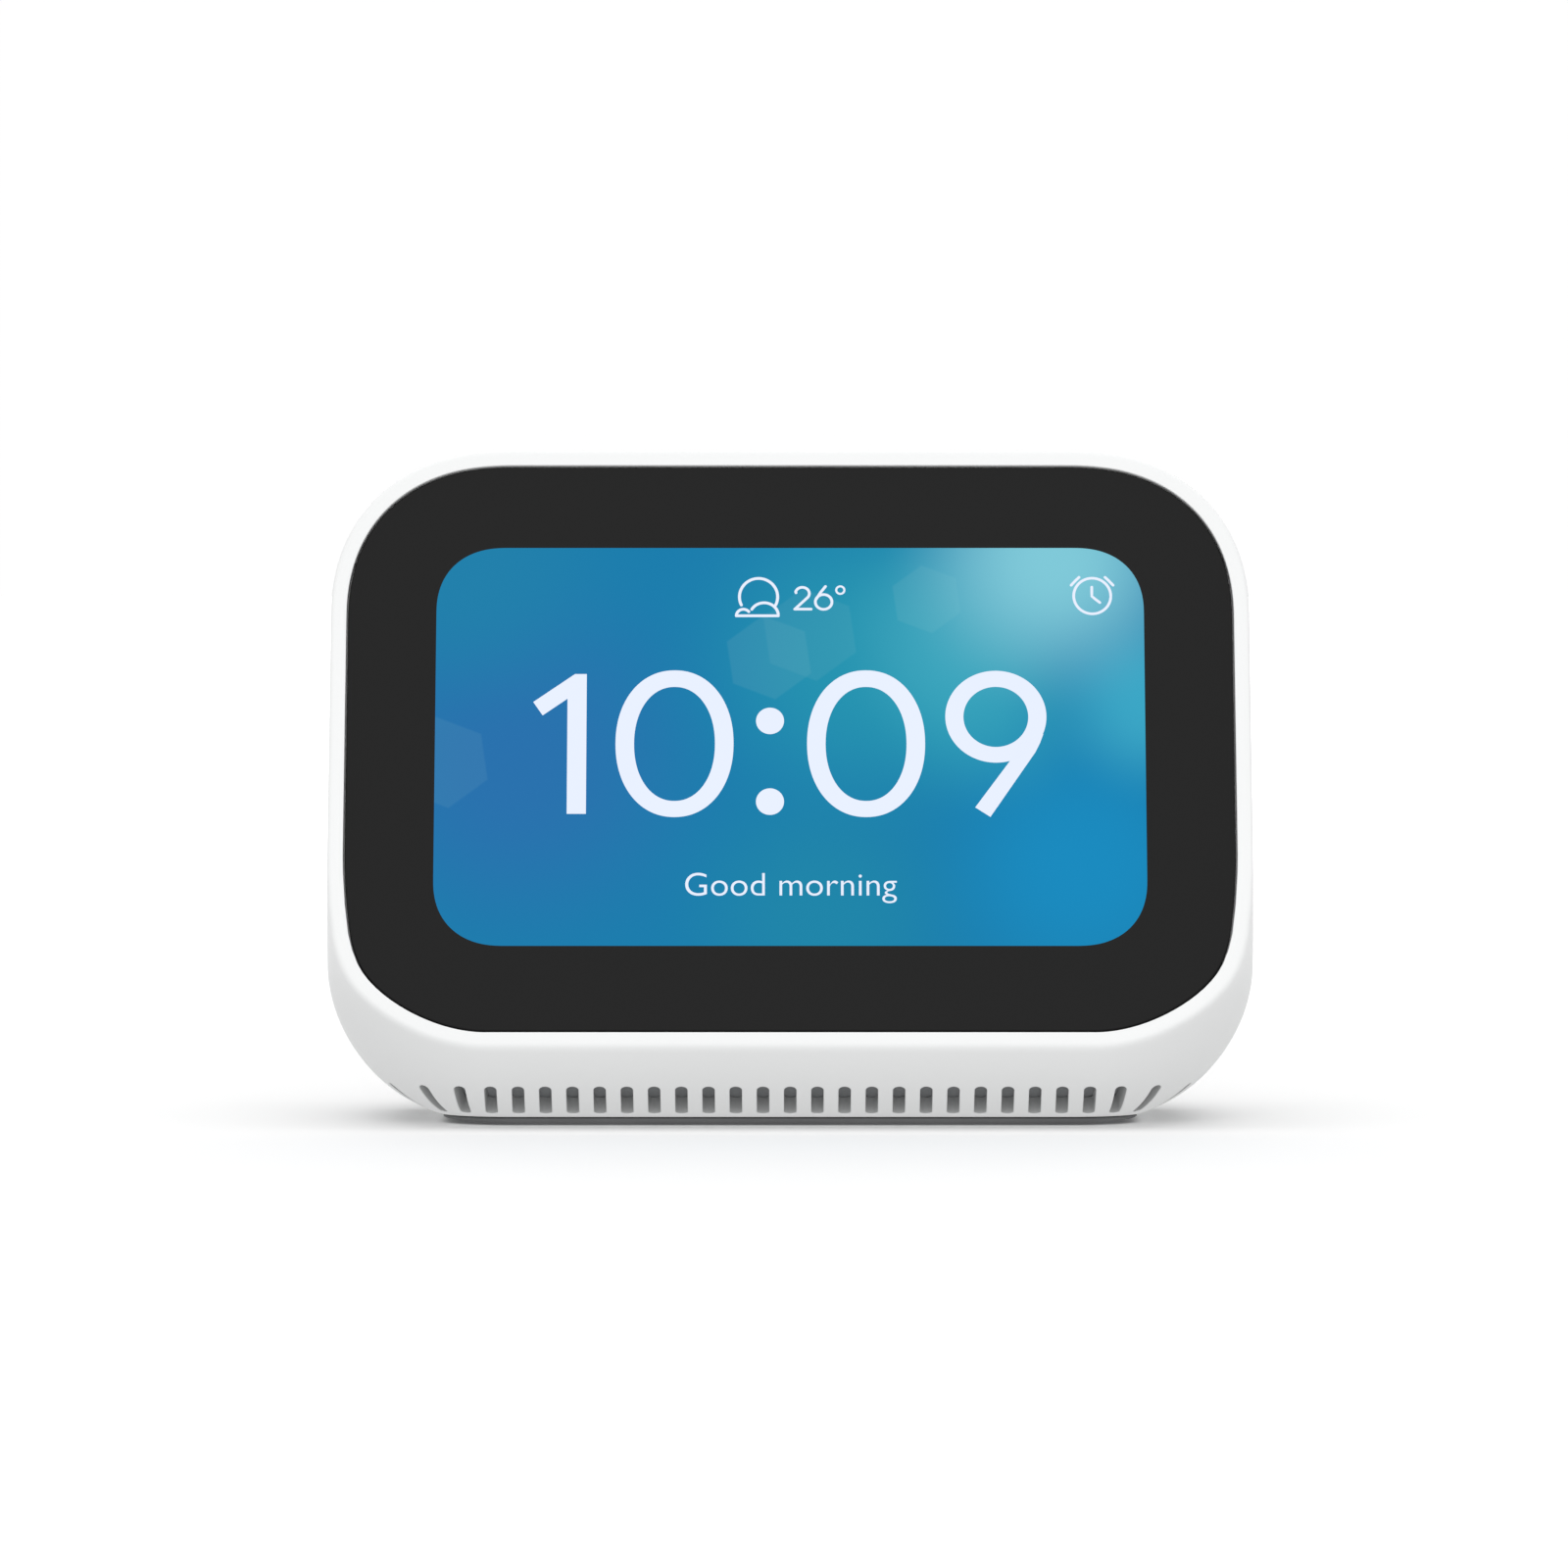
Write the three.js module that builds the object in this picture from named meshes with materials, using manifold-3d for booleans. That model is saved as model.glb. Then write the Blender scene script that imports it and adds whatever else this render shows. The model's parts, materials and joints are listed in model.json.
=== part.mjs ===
// Small desk smart display: a sloped glass screen in a bowl-shaped housing, with a
// downward-facing speaker behind a row of slots, two keys on top, a microphone
// switch and a power inlet at the back. Millimetres, +Z up, front towards -Y.
import * as THREE from 'three';
import { mergeVertices } from 'three/addons/utils/BufferGeometryUtils.js';
import { ParametricGeometry } from 'three/addons/geometries/ParametricGeometry.js';
import Module from 'manifold-3d';

const wasm = await Module();
wasm.setup();

// ---------------------------------------------------------------- driving sizes
const bodyWidth = 113;
const bodyDepth = 68;
const bodyHeight = 82.4;
const faceTilt = THREE.MathUtils.degToRad(22.5);
const rimBottomZ = 10.15;
const bodyFloorZ = 1;
const wall = 2;
const fitGap = 0.3;
const closeGap = 0.1;

// Bowl: the lower part of the housing flares outwards along one arc.
const bowlRadius = 19.5;
const bowlStartSlope = THREE.MathUtils.degToRad(18);
const baseCornerRadius = 9;
const frontCornerLow = 0.8;
const frontCornerHigh = 0.25;
const frontCornerBlend = [6, 24];

// Back and top: the back leans forwards and both run into the top in a soft curve.
const backLean = THREE.MathUtils.degToRad(6);
const leanBlend = 20;
const sideCurlWidth = 22;
const sideCurlHeight = 20.5;
const sideCurlPower = 2.25;
const backCurlDepth = 16;
const backCurlHeight = 15;
const backCurlPower = 2.1;

// Mesh fineness.
const cornerSteps = 7;
const bowlSteps = 7;
const wallSteps = 3;
const curlSteps = 6;
const roundSteps = 20;

// ---------------------------------------------------------------- shape helpers
function toSolid(geometry) {
  const bare = new THREE.BufferGeometry();
  bare.setAttribute('position', geometry.attributes.position.clone());
  if (geometry.index) {
    bare.setIndex(geometry.index.clone());
  }
  const merged = mergeVertices(bare, 1e-4);
  const source = merged.index.array;
  const vertices = new Float32Array(merged.attributes.position.array);
  const kept = [];
  let volume = 0;
  const a = new THREE.Vector3();
  const b = new THREE.Vector3();
  const c = new THREE.Vector3();
  for (let i = 0; i < source.length; i += 3) {
    const [p, q, r] = [source[i], source[i + 1], source[i + 2]];
    if (p !== q && q !== r && r !== p) {
      kept.push(p, q, r);
      a.fromArray(vertices, p * 3);
      b.fromArray(vertices, q * 3);
      c.fromArray(vertices, r * 3);
      volume += a.dot(b.cross(c));
    }
  }
  if (volume < 0) {
    for (let i = 0; i < kept.length; i += 3) {
      [kept[i], kept[i + 1]] = [kept[i + 1], kept[i]];
    }
  }
  return new wasm.Manifold(new wasm.Mesh({
    numProp: 3,
    vertProperties: vertices,
    triVerts: new Uint32Array(kept),
  }));
}

function toGeometry(solid) {
  const mesh = solid.getMesh();
  const geometry = new THREE.BufferGeometry();
  geometry.setAttribute('position', new THREE.BufferAttribute(mesh.vertProperties, 3));
  geometry.setIndex(new THREE.BufferAttribute(mesh.triVerts, 1));
  return geometry;
}

// Box given by its three ranges.
function block(xRange, yRange, zRange) {
  const size = [xRange, yRange, zRange].map(([low, high]) => high - low);
  const geometry = new THREE.BoxGeometry(...size);
  geometry.translate(
    (xRange[0] + xRange[1]) / 2,
    (yRange[0] + yRange[1]) / 2,
    (zRange[0] + zRange[1]) / 2,
  );
  return toSolid(geometry);
}

// Upright round post between two heights.
function post(x, y, zRange, radius, steps = roundSteps) {
  const geometry = new THREE.CylinderGeometry(radius, radius, zRange[1] - zRange[0], steps);
  geometry.rotateX(Math.PI / 2);
  geometry.translate(x, y, (zRange[0] + zRange[1]) / 2);
  return toSolid(geometry);
}

// Round post lying along the depth of the body.
function levelPost(x, yRange, z, radius, steps = roundSteps) {
  const geometry = new THREE.CylinderGeometry(radius, radius, yRange[1] - yRange[0], steps);
  geometry.translate(x, (yRange[0] + yRange[1]) / 2, z);
  return toSolid(geometry);
}

function roundedOutline(width, height, radius, x = 0, y = 0) {
  const shape = new THREE.Shape();
  const [left, right] = [x - width / 2, x + width / 2];
  const [low, high] = [y - height / 2, y + height / 2];
  shape.moveTo(left + radius, low);
  shape.lineTo(right - radius, low);
  shape.absarc(right - radius, low + radius, radius, -Math.PI / 2, 0, false);
  shape.lineTo(right, high - radius);
  shape.absarc(right - radius, high - radius, radius, 0, Math.PI / 2, false);
  shape.lineTo(left + radius, high);
  shape.absarc(left + radius, high - radius, radius, Math.PI / 2, Math.PI, false);
  shape.lineTo(left, low + radius);
  shape.absarc(left + radius, low + radius, radius, Math.PI, Math.PI * 1.5, false);
  return shape;
}

// Flat piece: an outline thickened between two heights.
function slab(shape, zRange, steps = 5) {
  const geometry = new THREE.ExtrudeGeometry(shape, {
    depth: zRange[1] - zRange[0],
    bevelEnabled: false,
    curveSegments: steps,
  });
  geometry.translate(0, 0, zRange[0]);
  return toSolid(geometry);
}

// Turned piece: [radius, height] pairs that start and end on the axis or close.
function turned(profile, x, y, steps = roundSteps) {
  const points = profile.map(([radius, height]) => new THREE.Vector2(radius, height));
  const geometry = new THREE.LatheGeometry(points, steps);
  geometry.rotateX(Math.PI / 2);
  geometry.translate(x, y, 0);
  return toSolid(geometry);
}

function closedProfile(points) {
  return [...points, points[0]];
}

// Side-view outline in (depth, height), thickened across the width.
function sideSlab(points, xRange) {
  const shape = new THREE.Shape(points.map(([y, z]) => new THREE.Vector2(y, z)));
  const geometry = new THREE.ExtrudeGeometry(shape, {
    depth: xRange[1] - xRange[0],
    bevelEnabled: false,
    curveSegments: 4,
  });
  const toBody = new THREE.Matrix4().set(
    0, 0, 1, xRange[0],
    1, 0, 0, 0,
    0, 1, 0, 0,
    0, 0, 0, 1,
  );
  geometry.applyMatrix4(toBody);
  return toSolid(geometry);
}

// Ribbon: a side-view path given a thickness and a width.
function ribbon(path, thickness, xRange) {
  const curve = new THREE.CatmullRomCurve3(path.map(([y, z]) => new THREE.Vector3(y, z, 0)));
  const near = [];
  const far = [];
  const steps = 18;
  for (let step = 0; step <= steps; step += 1) {
    const point = curve.getPoint(step / steps);
    const along = curve.getTangent(step / steps);
    near.push([point.x - along.y * thickness / 2, point.y + along.x * thickness / 2]);
    far.push([point.x + along.y * thickness / 2, point.y - along.x * thickness / 2]);
  }
  return sideSlab([...near, ...far.reverse()], xRange);
}

// Round lead along a path in space.
function lead(path, radius) {
  const curve = new THREE.CatmullRomCurve3(path.map((point) => new THREE.Vector3(...point)));
  const section = new THREE.Shape();
  section.absarc(0, 0, radius, 0, Math.PI * 2, false);
  return toSolid(new THREE.ExtrudeGeometry(section, {
    steps: 16,
    curveSegments: 4,
    extrudePath: curve,
    bevelEnabled: false,
  }));
}

function joined(solids) {
  return solids.reduce((sum, solid) => sum.add(solid));
}

const display = new THREE.Group();
display.name = 'smart_display';

function addPiece(name, solid, colour, roughness, metalness) {
  const material = new THREE.MeshStandardMaterial({ color: colour, roughness, metalness });
  const geometry = toGeometry(solid);
  geometry.translate(0, -bodyDepth / 2, 0);
  const mesh = new THREE.Mesh(geometry, material);
  mesh.name = name;
  display.add(mesh);
}

// ---------------------------------------------------------------- body sections
const bowlCentreZ = bodyFloorZ + bowlRadius * Math.cos(bowlStartSlope);
const bowlInset = bowlRadius * Math.sin(bowlStartSlope);

// How far the bowl stands out beyond the base outline at a height.
function flareAt(z, inset = 0) {
  const radius = bowlRadius - inset;
  const below = Math.max(0, bowlCentreZ - z);
  return Math.sqrt(Math.max(0, radius * radius - below * below)) - bowlInset;
}

const bowlReach = flareAt(bowlCentreZ);
const baseHalfWidth = bodyWidth / 2 - bowlReach;
const baseFront = flareAt(rimBottomZ);
const baseBack = bodyDepth - bowlReach;

function curl(z, inset, across, rise, power) {
  const start = bodyHeight - rise;
  const part = Math.min(1, Math.max(0, (z - start) / (rise - inset)));
  return (across - inset) * (1 - (1 - part ** power) ** (1 / power));
}

function leanAt(z) {
  const above = z - bowlCentreZ;
  if (above <= 0) {
    return 0;
  }
  const run = above < leanBlend ? above * above / (2 * leanBlend) : above - leanBlend / 2;
  return run * Math.tan(backLean);
}

function halfWidthAt(z, inset = 0) {
  return baseHalfWidth + flareAt(z, inset) - curl(z, inset, sideCurlWidth, sideCurlHeight, sideCurlPower);
}

function frontAt(z, inset = 0) {
  return baseFront - flareAt(z, inset);
}

function backAt(z, inset = 0) {
  const rounding = curl(z, inset, backCurlDepth, backCurlHeight, backCurlPower);
  return baseBack + flareAt(z, inset) - leanAt(z) - rounding;
}

function frontCornerAt(z, inset = 0) {
  const blend = THREE.MathUtils.smoothstep(z, ...frontCornerBlend);
  const share = THREE.MathUtils.lerp(frontCornerLow, frontCornerHigh, blend);
  return baseCornerRadius + flareAt(z, inset) * share;
}

function backCornerAt(z, inset = 0) {
  return baseCornerRadius + flareAt(z, inset);
}

// One level outline of the body, from the middle of the front round to the left.
function sectionRing(z, inset = 0) {
  const half = halfWidthAt(z, inset);
  const front = frontAt(z, inset);
  const back = backAt(z, inset);
  const frontCorner = frontCornerAt(z, inset);
  const backCorner = Math.min(backCornerAt(z, inset), half - 2);
  const right = [];
  for (let step = 0; step <= cornerSteps; step += 1) {
    const turn = step / cornerSteps * Math.PI / 2;
    right.push([half - frontCorner * (1 - Math.sin(turn)), front + frontCorner * (1 - Math.cos(turn))]);
  }
  for (let step = 1; step < wallSteps; step += 1) {
    const share = step / wallSteps;
    right.push([half, THREE.MathUtils.lerp(front + frontCorner, back - backCorner, share)]);
  }
  for (let step = 0; step <= cornerSteps; step += 1) {
    const turn = step / cornerSteps * Math.PI / 2;
    right.push([half - backCorner * (1 - Math.cos(turn)), back - backCorner * (1 - Math.sin(turn))]);
  }
  const left = right.map(([x, y]) => [-x, y]).reverse();
  return [...right, ...left];
}

// Heights of the rings: close together in the bowl and near the top.
function ringHeights(lowZ, inset) {
  const heights = [];
  const radius = bowlRadius - inset;
  const startSlope = Math.acos(Math.min(1, (bowlCentreZ - lowZ) / radius));
  for (let step = 0; step <= bowlSteps; step += 1) {
    const slope = THREE.MathUtils.lerp(startSlope, Math.PI / 2, step / bowlSteps);
    heights.push(bowlCentreZ - radius * Math.cos(slope));
  }
  const curlStart = bodyHeight - sideCurlHeight;
  for (let step = 1; step <= wallSteps; step += 1) {
    heights.push(THREE.MathUtils.lerp(bowlCentreZ, curlStart, step / wallSteps));
  }
  for (let step = 1; step <= curlSteps; step += 1) {
    const slope = step / curlSteps * Math.PI / 2;
    heights.push(curlStart + (sideCurlHeight - inset) * Math.sin(slope));
  }
  return heights;
}

// Closed solid through all rings, before the sloped front is cut away.
function bodyLoft(lowZ, inset) {
  const heights = ringHeights(lowZ, inset);
  const rings = heights.map((z) => sectionRing(z, inset).map(([x, y]) => [x, y, z]));
  const middle = (rings[0][0][1] + backAt(bowlCentreZ)) / 2;
  const columns = rings[0].length;
  const bottom = [0, middle, heights[0]];
  const top = [0, middle, heights[heights.length - 1]];
  const rows = [Array(columns).fill(bottom), ...rings, Array(columns).fill(top)];
  const surface = (u, v, target) => {
    const row = rows[Math.round(v * (rows.length - 1))];
    target.set(...row[Math.round(u * columns) % columns]);
  };
  return toSolid(new ParametricGeometry(surface, columns, rows.length - 1));
}

// ---------------------------------------------------------------- sloped face
// Face frame: x across, y up the slope from the lower rim edge, z out of the face.
const faceFrame = new THREE.Matrix4().set(
  1, 0, 0, 0,
  0, Math.sin(faceTilt), -Math.cos(faceTilt), 0,
  0, Math.cos(faceTilt), Math.sin(faceTilt), rimBottomZ,
  0, 0, 0, 1,
);
const faceLength = (bodyHeight - rimBottomZ) / Math.cos(faceTilt);

function faceDepthAt(z) {
  return (z - rimBottomZ) * Math.tan(faceTilt);
}

function onFace(solid) {
  const rows = faceFrame.elements;
  return solid.transform([...rows]);
}

// Everything deeper in the body than a plane this far behind the face.
function behindFace(depth) {
  const reach = bodyWidth * 2;
  return onFace(block([-reach, reach], [-reach, reach], [-reach, -depth]));
}

// Outline of the rim in the face, from bottom to top on the right-hand side.
const rimSide = [];
const rimSteps = 28;
for (let step = 0; step <= rimSteps; step += 1) {
  const share = (1 - Math.cos(step / rimSteps * Math.PI)) / 2;
  const z = THREE.MathUtils.lerp(rimBottomZ, bodyHeight, share);
  const half = halfWidthAt(z);
  const corner = frontCornerAt(z);
  const short = Math.max(0, frontAt(z) + corner - faceDepthAt(z));
  const x = half - corner + Math.sqrt(Math.max(0, corner * corner - short * short));
  rimSide.push(new THREE.Vector2(x, share * faceLength));
}
const rimLoop = [...rimSide, ...rimSide.map((point) => new THREE.Vector2(-point.x, point.y)).reverse()];

// The rim outline moved inwards by a margin.
function faceOutline(margin) {
  const count = rimLoop.length;
  const points = rimLoop.map((point, index) => {
    const before = rimLoop[(index + count - 1) % count];
    const after = rimLoop[(index + 1) % count];
    const along = point.clone().sub(before).normalize();
    along.add(after.clone().sub(point).normalize()).normalize();
    return new THREE.Vector2(point.x - along.y * margin, point.y + along.x * margin);
  });
  return new THREE.Shape(points);
}

const rimBand = 2.15;
const glassRecess = 0.2;
const glassThickness = 1.1;
const tapeThickness = 0.3;
const ledgeThickness = 1.6;
const ledgeDepth = glassRecess + glassThickness + closeGap + tapeThickness + closeGap;
const ledgeBack = ledgeDepth + ledgeThickness;

// Screen area and its place on the glass.
const screenWidth = 87;
const screenHeight = 52.2;
const screenCentre = rimBand + 10.95 + screenHeight / 2;
const moduleWidth = 94;
const moduleHeight = 58.5;
const moduleCentre = screenCentre - 1;
const windowMargin = 0.8;

// ---------------------------------------------------------------- positions inside
const splitDepth = 52;
const lipDepth = 3.5;
const lipThickness = 1.2;

const speakerDepth = 33;
const speakerFaceZ = 11;
const boxHalfWidth = 30.5;
const boxFront = 12.5;
const boxBack = 51.2;
const boxBottomZ = 12.4;
const boxTopZ = 38;
const boxWall = 1.6;

const basePlateHalfWidth = baseHalfWidth - 2.2;
const basePlateFront = baseFront + 2.2;
const basePlateBack = splitDepth - 2.8;
const basePlateLip = 2;
const basePlateFlange = 0.9;
const basePlateThickness = 2.3;
const basePlateCorner = 7;
const baseScrewX = 35.5;
const baseScrewDepths = [20, 42];
const baseBossRadius = 3;
const baseBossTopZ = 17;

const keyDepth = 39;
const keyLength = 12;
const keyWidth = 5;
const keyTravel = 0.5;
const keyHalfSpacing = 2;
const keyOffset = keyLength / 2 + keyHalfSpacing;
const keyBossClearance = 4.5;
const keyBossOffset = keyOffset + keyLength / 2 + keyBossClearance;
const micOffset = 27;
const keyBoardMargin = 6;
const keyBoardHalfWidth = micOffset + keyBoardMargin;
const micHoleRadius = 0.6;
const keyBoardTopZ = bodyHeight - 7.2;
const keyBoardThickness = 1;
const keyBoardHalfDepth = 6;

const boardFront = 53.6;
const boardThickness = 1.6;
const boardBottomZ = 24;
const boardTopZ = 66;
const boardHalfWidth = 41;
const boardHoleX = 37;
const boardHoleZs = [28, 62];
const boardBossRadius = 2.6;

const jackX = -20;
const jackZ = 33;
const jackMouthRadius = 3;
const jackOpeningRadius = 4.2;

const muteX = 0;
const muteZ = 56;
const muteTravel = 2;
const muteKnobLength = 4.5;
const muteKnobHeight = 2.6;

const screwShank = 1.1;
const screwHead = 2.1;
const screwHeadHeight = 1;
const screwHole = screwShank + 0.25;

// ---------------------------------------------------------------- housing shell
const outerBody = bodyLoft(bodyFloorZ, 0).intersect(behindFace(0));
const cavity = bodyLoft(bodyFloorZ + wall, wall).intersect(behindFace(ledgeBack));
const liner = bodyLoft(bodyFloorZ + wall / 2, wall / 2).intersect(behindFace(ledgeDepth));

const glassPocket = onFace(slab(faceOutline(rimBand - closeGap * 2), [-ledgeDepth, 1]));
const screenWindow = onFace(slab(roundedOutline(
  moduleWidth + windowMargin,
  moduleHeight + windowMargin,
  2,
  0,
  moduleCentre,
), [-ledgeBack - 1, 0]));

// Notch below the window where the screen ribbons fold back.
const notchHalfWidth = 13;
const notchHeight = 3.8;
const notchBottom = moduleCentre - moduleHeight / 2 - notchHeight;
const ribbonNotch = onFace(block(
  [-notchHalfWidth, notchHalfWidth],
  [notchBottom, moduleCentre],
  [-ledgeBack - 4, -glassRecess - glassThickness - closeGap / 2],
));

// Sound slots: one row round the front and sides of the bowl.
const slotPitch = 3.31;
const slotWidth = 1.5;
const slotCountPerSide = 22;
const slotFanPower = 2.4;
const slotLowSlope = THREE.MathUtils.degToRad(21.4);
const slotHighSlope = THREE.MathUtils.degToRad(42);
const slotMidSlope = (slotLowSlope + slotHighSlope) / 2;
const slotLength = 2 * bowlRadius * Math.sin((slotHighSlope - slotLowSlope) / 2);

// Point and outward heading on the base outline, by distance from the middle of the front.
function basePoint(distance) {
  const straight = baseHalfWidth - baseCornerRadius;
  const arc = baseCornerRadius * Math.PI / 2;
  const way = Math.abs(distance);
  const side = Math.sign(distance) || 1;
  let turn = 0;
  let x = way;
  let y = baseFront;
  if (way > straight) {
    turn = Math.min(Math.PI / 2, (way - straight) / baseCornerRadius);
    x = straight + baseCornerRadius * Math.sin(turn);
    y = baseFront + baseCornerRadius * (1 - Math.cos(turn)) + Math.max(0, way - straight - arc);
  }
  return { x: x * side, y, heading: turn * side };
}

function soundSlot(index) {
  const { x, y, heading } = basePoint(index * slotPitch);
  const cutter = slab(roundedOutline(slotWidth, slotLength, slotWidth / 2 - 0.01), [-wall - 1.6, 1.6], 2);
  const fan = (Math.abs(heading) / (Math.PI / 2)) ** slotFanPower * (Math.PI / 2) * Math.sign(heading);
  const out = new THREE.Vector3(Math.sin(fan), -Math.cos(fan), 0);
  const across = new THREE.Vector3(Math.cos(fan), Math.sin(fan), 0);
  const up = out.clone().multiplyScalar(Math.cos(slotMidSlope));
  up.z = Math.sin(slotMidSlope);
  const normal = out.clone().multiplyScalar(Math.sin(slotMidSlope));
  normal.z = -Math.cos(slotMidSlope);
  const reach = bowlRadius * Math.sin(slotMidSlope) - bowlInset;
  const frame = new THREE.Matrix4().makeBasis(across.negate(), up, normal);
  frame.setPosition(
    x + out.x * reach,
    y + out.y * reach,
    bowlCentreZ - bowlRadius * Math.cos(slotMidSlope),
  );
  return cutter.transform([...frame.elements]);
}

const slots = [];
for (let index = -slotCountPerSide; index <= slotCountPerSide; index += 1) {
  slots.push(soundSlot(index));
}

// Bosses inside the shell, trimmed to the wall they grow from.
const innerPosts = [];
for (const side of [-1, 1]) {
  for (const depth of baseScrewDepths) {
    const x = side * baseScrewX;
    innerPosts.push(post(x, depth, [bodyFloorZ + basePlateThickness + fitGap, baseBossTopZ], baseBossRadius));
    innerPosts.push(block(
      [Math.min(x, side * bodyWidth / 2), Math.max(x, side * bodyWidth / 2)],
      [depth - 1, depth + 1],
      [bodyFloorZ + 8, baseBossTopZ],
    ));
  }
  innerPosts.push(post(side * keyBossOffset, keyDepth, [keyBoardTopZ + closeGap, bodyHeight], 2.2));
}
const displayBossX = 51.3;
const displayBossHeights = [15, 62];
const displayBossRadius = 2.1;
const displayBossBack = ledgeBack + 1.8;
for (const side of [-1, 1]) {
  for (const height of displayBossHeights) {
    const boss = post(side * displayBossX, height, [-displayBossBack, -ledgeDepth], displayBossRadius, 16);
    innerPosts.push(onFace(boss));
  }
}
const trimmedPosts = joined(innerPosts).intersect(liner);

const postHoles = [];
for (const side of [-1, 1]) {
  for (const depth of baseScrewDepths) {
    postHoles.push(post(side * baseScrewX, depth, [bodyFloorZ, baseBossTopZ - 3], screwHole, 12));
  }
  postHoles.push(post(side * keyBossOffset, keyDepth, [keyBoardTopZ - 1, keyBoardTopZ + 4], screwHole, 12));
  for (const height of displayBossHeights) {
    const hole = post(side * displayBossX, height, [-displayBossBack - 1, -ledgeDepth - 0.6], 0.9, 12);
    postHoles.push(onFace(hole));
  }
}

const basePlateMiddle = (basePlateFront + basePlateBack) / 2;
const basePlateSpan = basePlateBack - basePlateFront;

function baseOutline(shrink) {
  return roundedOutline(
    (basePlateHalfWidth - shrink) * 2,
    basePlateSpan - shrink * 2,
    basePlateCorner - shrink,
    0,
    basePlateMiddle,
  );
}

const baseOpening = joined([
  slab(baseOutline(-fitGap), [0, bodyFloorZ + basePlateFlange + closeGap]),
  slab(baseOutline(basePlateLip - fitGap), [0, bodyFloorZ + wall + 1]),
]);

// Openings in the top for the two keys and the two microphones.
const topOpenings = [];
for (const side of [-1, 1]) {
  const keyHole = roundedOutline(keyLength + 0.5, keyWidth + 0.5, keyWidth / 2 + 0.24, side * keyOffset, keyDepth);
  topOpenings.push(slab(keyHole, [bodyHeight - wall - 1, bodyHeight + 1]));
  topOpenings.push(post(side * micOffset, keyDepth, [bodyHeight - wall - 1, bodyHeight + 1], micHoleRadius, 12));
}

const shell = outerBody
  .subtract(cavity)
  .add(trimmedPosts)
  .subtract(glassPocket)
  .subtract(screenWindow)
  .subtract(ribbonNotch)
  .subtract(joined(slots))
  .subtract(baseOpening)
  .subtract(joined(topOpenings))
  .subtract(joined(postHoles));

const everywhere = bodyWidth * 2;
const frontPart = block([-everywhere, everywhere], [-everywhere, splitDepth - fitGap / 2], [-10, everywhere]);
const rearPart = block([-everywhere, everywhere], [splitDepth + fitGap / 2, everywhere], [-10, everywhere]);

const plasticWhite = 0xf1f2f2;
addPiece('main_housing', shell.intersect(frontPart), plasticWhite, 0.55, 0);

// ---------------------------------------------------------------- rear cover
// Locating lip that slides inside the main housing, above the base.
const lipBottomZ = baseBossTopZ + 1;
const lipZone = block(
  [-everywhere, everywhere],
  [splitDepth - lipDepth, splitDepth + 3],
  [lipBottomZ, everywhere],
);
const lipRootZone = block(
  [-everywhere, everywhere],
  [splitDepth + fitGap / 2, splitDepth + 3],
  [lipBottomZ, everywhere],
);
const lipOuter = bodyLoft(bodyFloorZ + wall + fitGap, wall + fitGap);
const lipInner = bodyLoft(bodyFloorZ + wall + fitGap + lipThickness, wall + fitGap + lipThickness);
const lipRoot = liner.intersect(lipRootZone);
const lip = lipOuter.intersect(lipZone).add(lipRoot).subtract(lipInner);

const boardPosts = [];
const boardPostHoles = [];
for (const side of [-1, 1]) {
  for (const z of boardHoleZs) {
    const start = boardFront + boardThickness + closeGap;
    boardPosts.push(levelPost(side * boardHoleX, [start, bodyDepth], z, boardBossRadius));
    boardPostHoles.push(levelPost(side * boardHoleX, [start - 1, start + 5], z, screwHole, 12));
  }
}
const jackHole = levelPost(jackX, [splitDepth, bodyDepth + 5], jackZ, jackOpeningRadius);
const muteSlot = block(
  [muteX - muteKnobLength / 2 - fitGap, muteX + muteKnobLength / 2 + muteTravel + fitGap],
  [splitDepth + 4, bodyDepth + 5],
  [muteZ - muteKnobHeight / 2 - fitGap, muteZ + muteKnobHeight / 2 + fitGap],
);
const rearCover = shell.intersect(rearPart)
  .add(lip)
  .add(joined(boardPosts).intersect(liner))
  .subtract(joined(boardPostHoles))
  .subtract(jackHole)
  .subtract(muteSlot);
addPiece('rear_cover', rearCover, plasticWhite, 0.55, 0);

// ---------------------------------------------------------------- base and foot
const diffuserRadius = 9;
const diffuserHeight = 3.2;
const basePlateTopZ = bodyFloorZ + basePlateThickness;
const diffuser = turned([
  [0, basePlateTopZ - 0.5],
  [diffuserRadius, basePlateTopZ - 0.5],
  [diffuserRadius, basePlateTopZ],
  [diffuserRadius * 0.5, basePlateTopZ + diffuserHeight * 0.4],
  [diffuserRadius * 0.15, basePlateTopZ + diffuserHeight],
  [0, basePlateTopZ + diffuserHeight],
], 0, speakerDepth);
const plateHoles = [];
for (const side of [-1, 1]) {
  for (const depth of baseScrewDepths) {
    plateHoles.push(post(side * baseScrewX, depth, [0, bodyFloorZ + screwHeadHeight + 0.3], screwHead + 0.3));
    plateHoles.push(post(side * baseScrewX, depth, [0, basePlateTopZ + 1], screwHole, 12));
  }
}
const basePlate = joined([
  slab(baseOutline(0), [bodyFloorZ, bodyFloorZ + basePlateFlange]),
  slab(baseOutline(basePlateLip), [bodyFloorZ, basePlateTopZ]),
  diffuser,
]).subtract(joined(plateHoles));
addPiece('base_plate', basePlate, 0xd9dada, 0.6, 0);

const footInset = 1;
const footHeight = bodyFloorZ - 0.15;
const footSpan = baseBack - baseFront - footInset * 2;
const footShape = roundedOutline(
  (baseHalfWidth - footInset) * 2,
  footSpan,
  baseCornerRadius - footInset,
  0,
  (baseBack + baseFront) / 2,
);
addPiece('rubber_foot', slab(footShape, [0, footHeight], 8), 0x4a4b4c, 0.9, 0);

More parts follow.
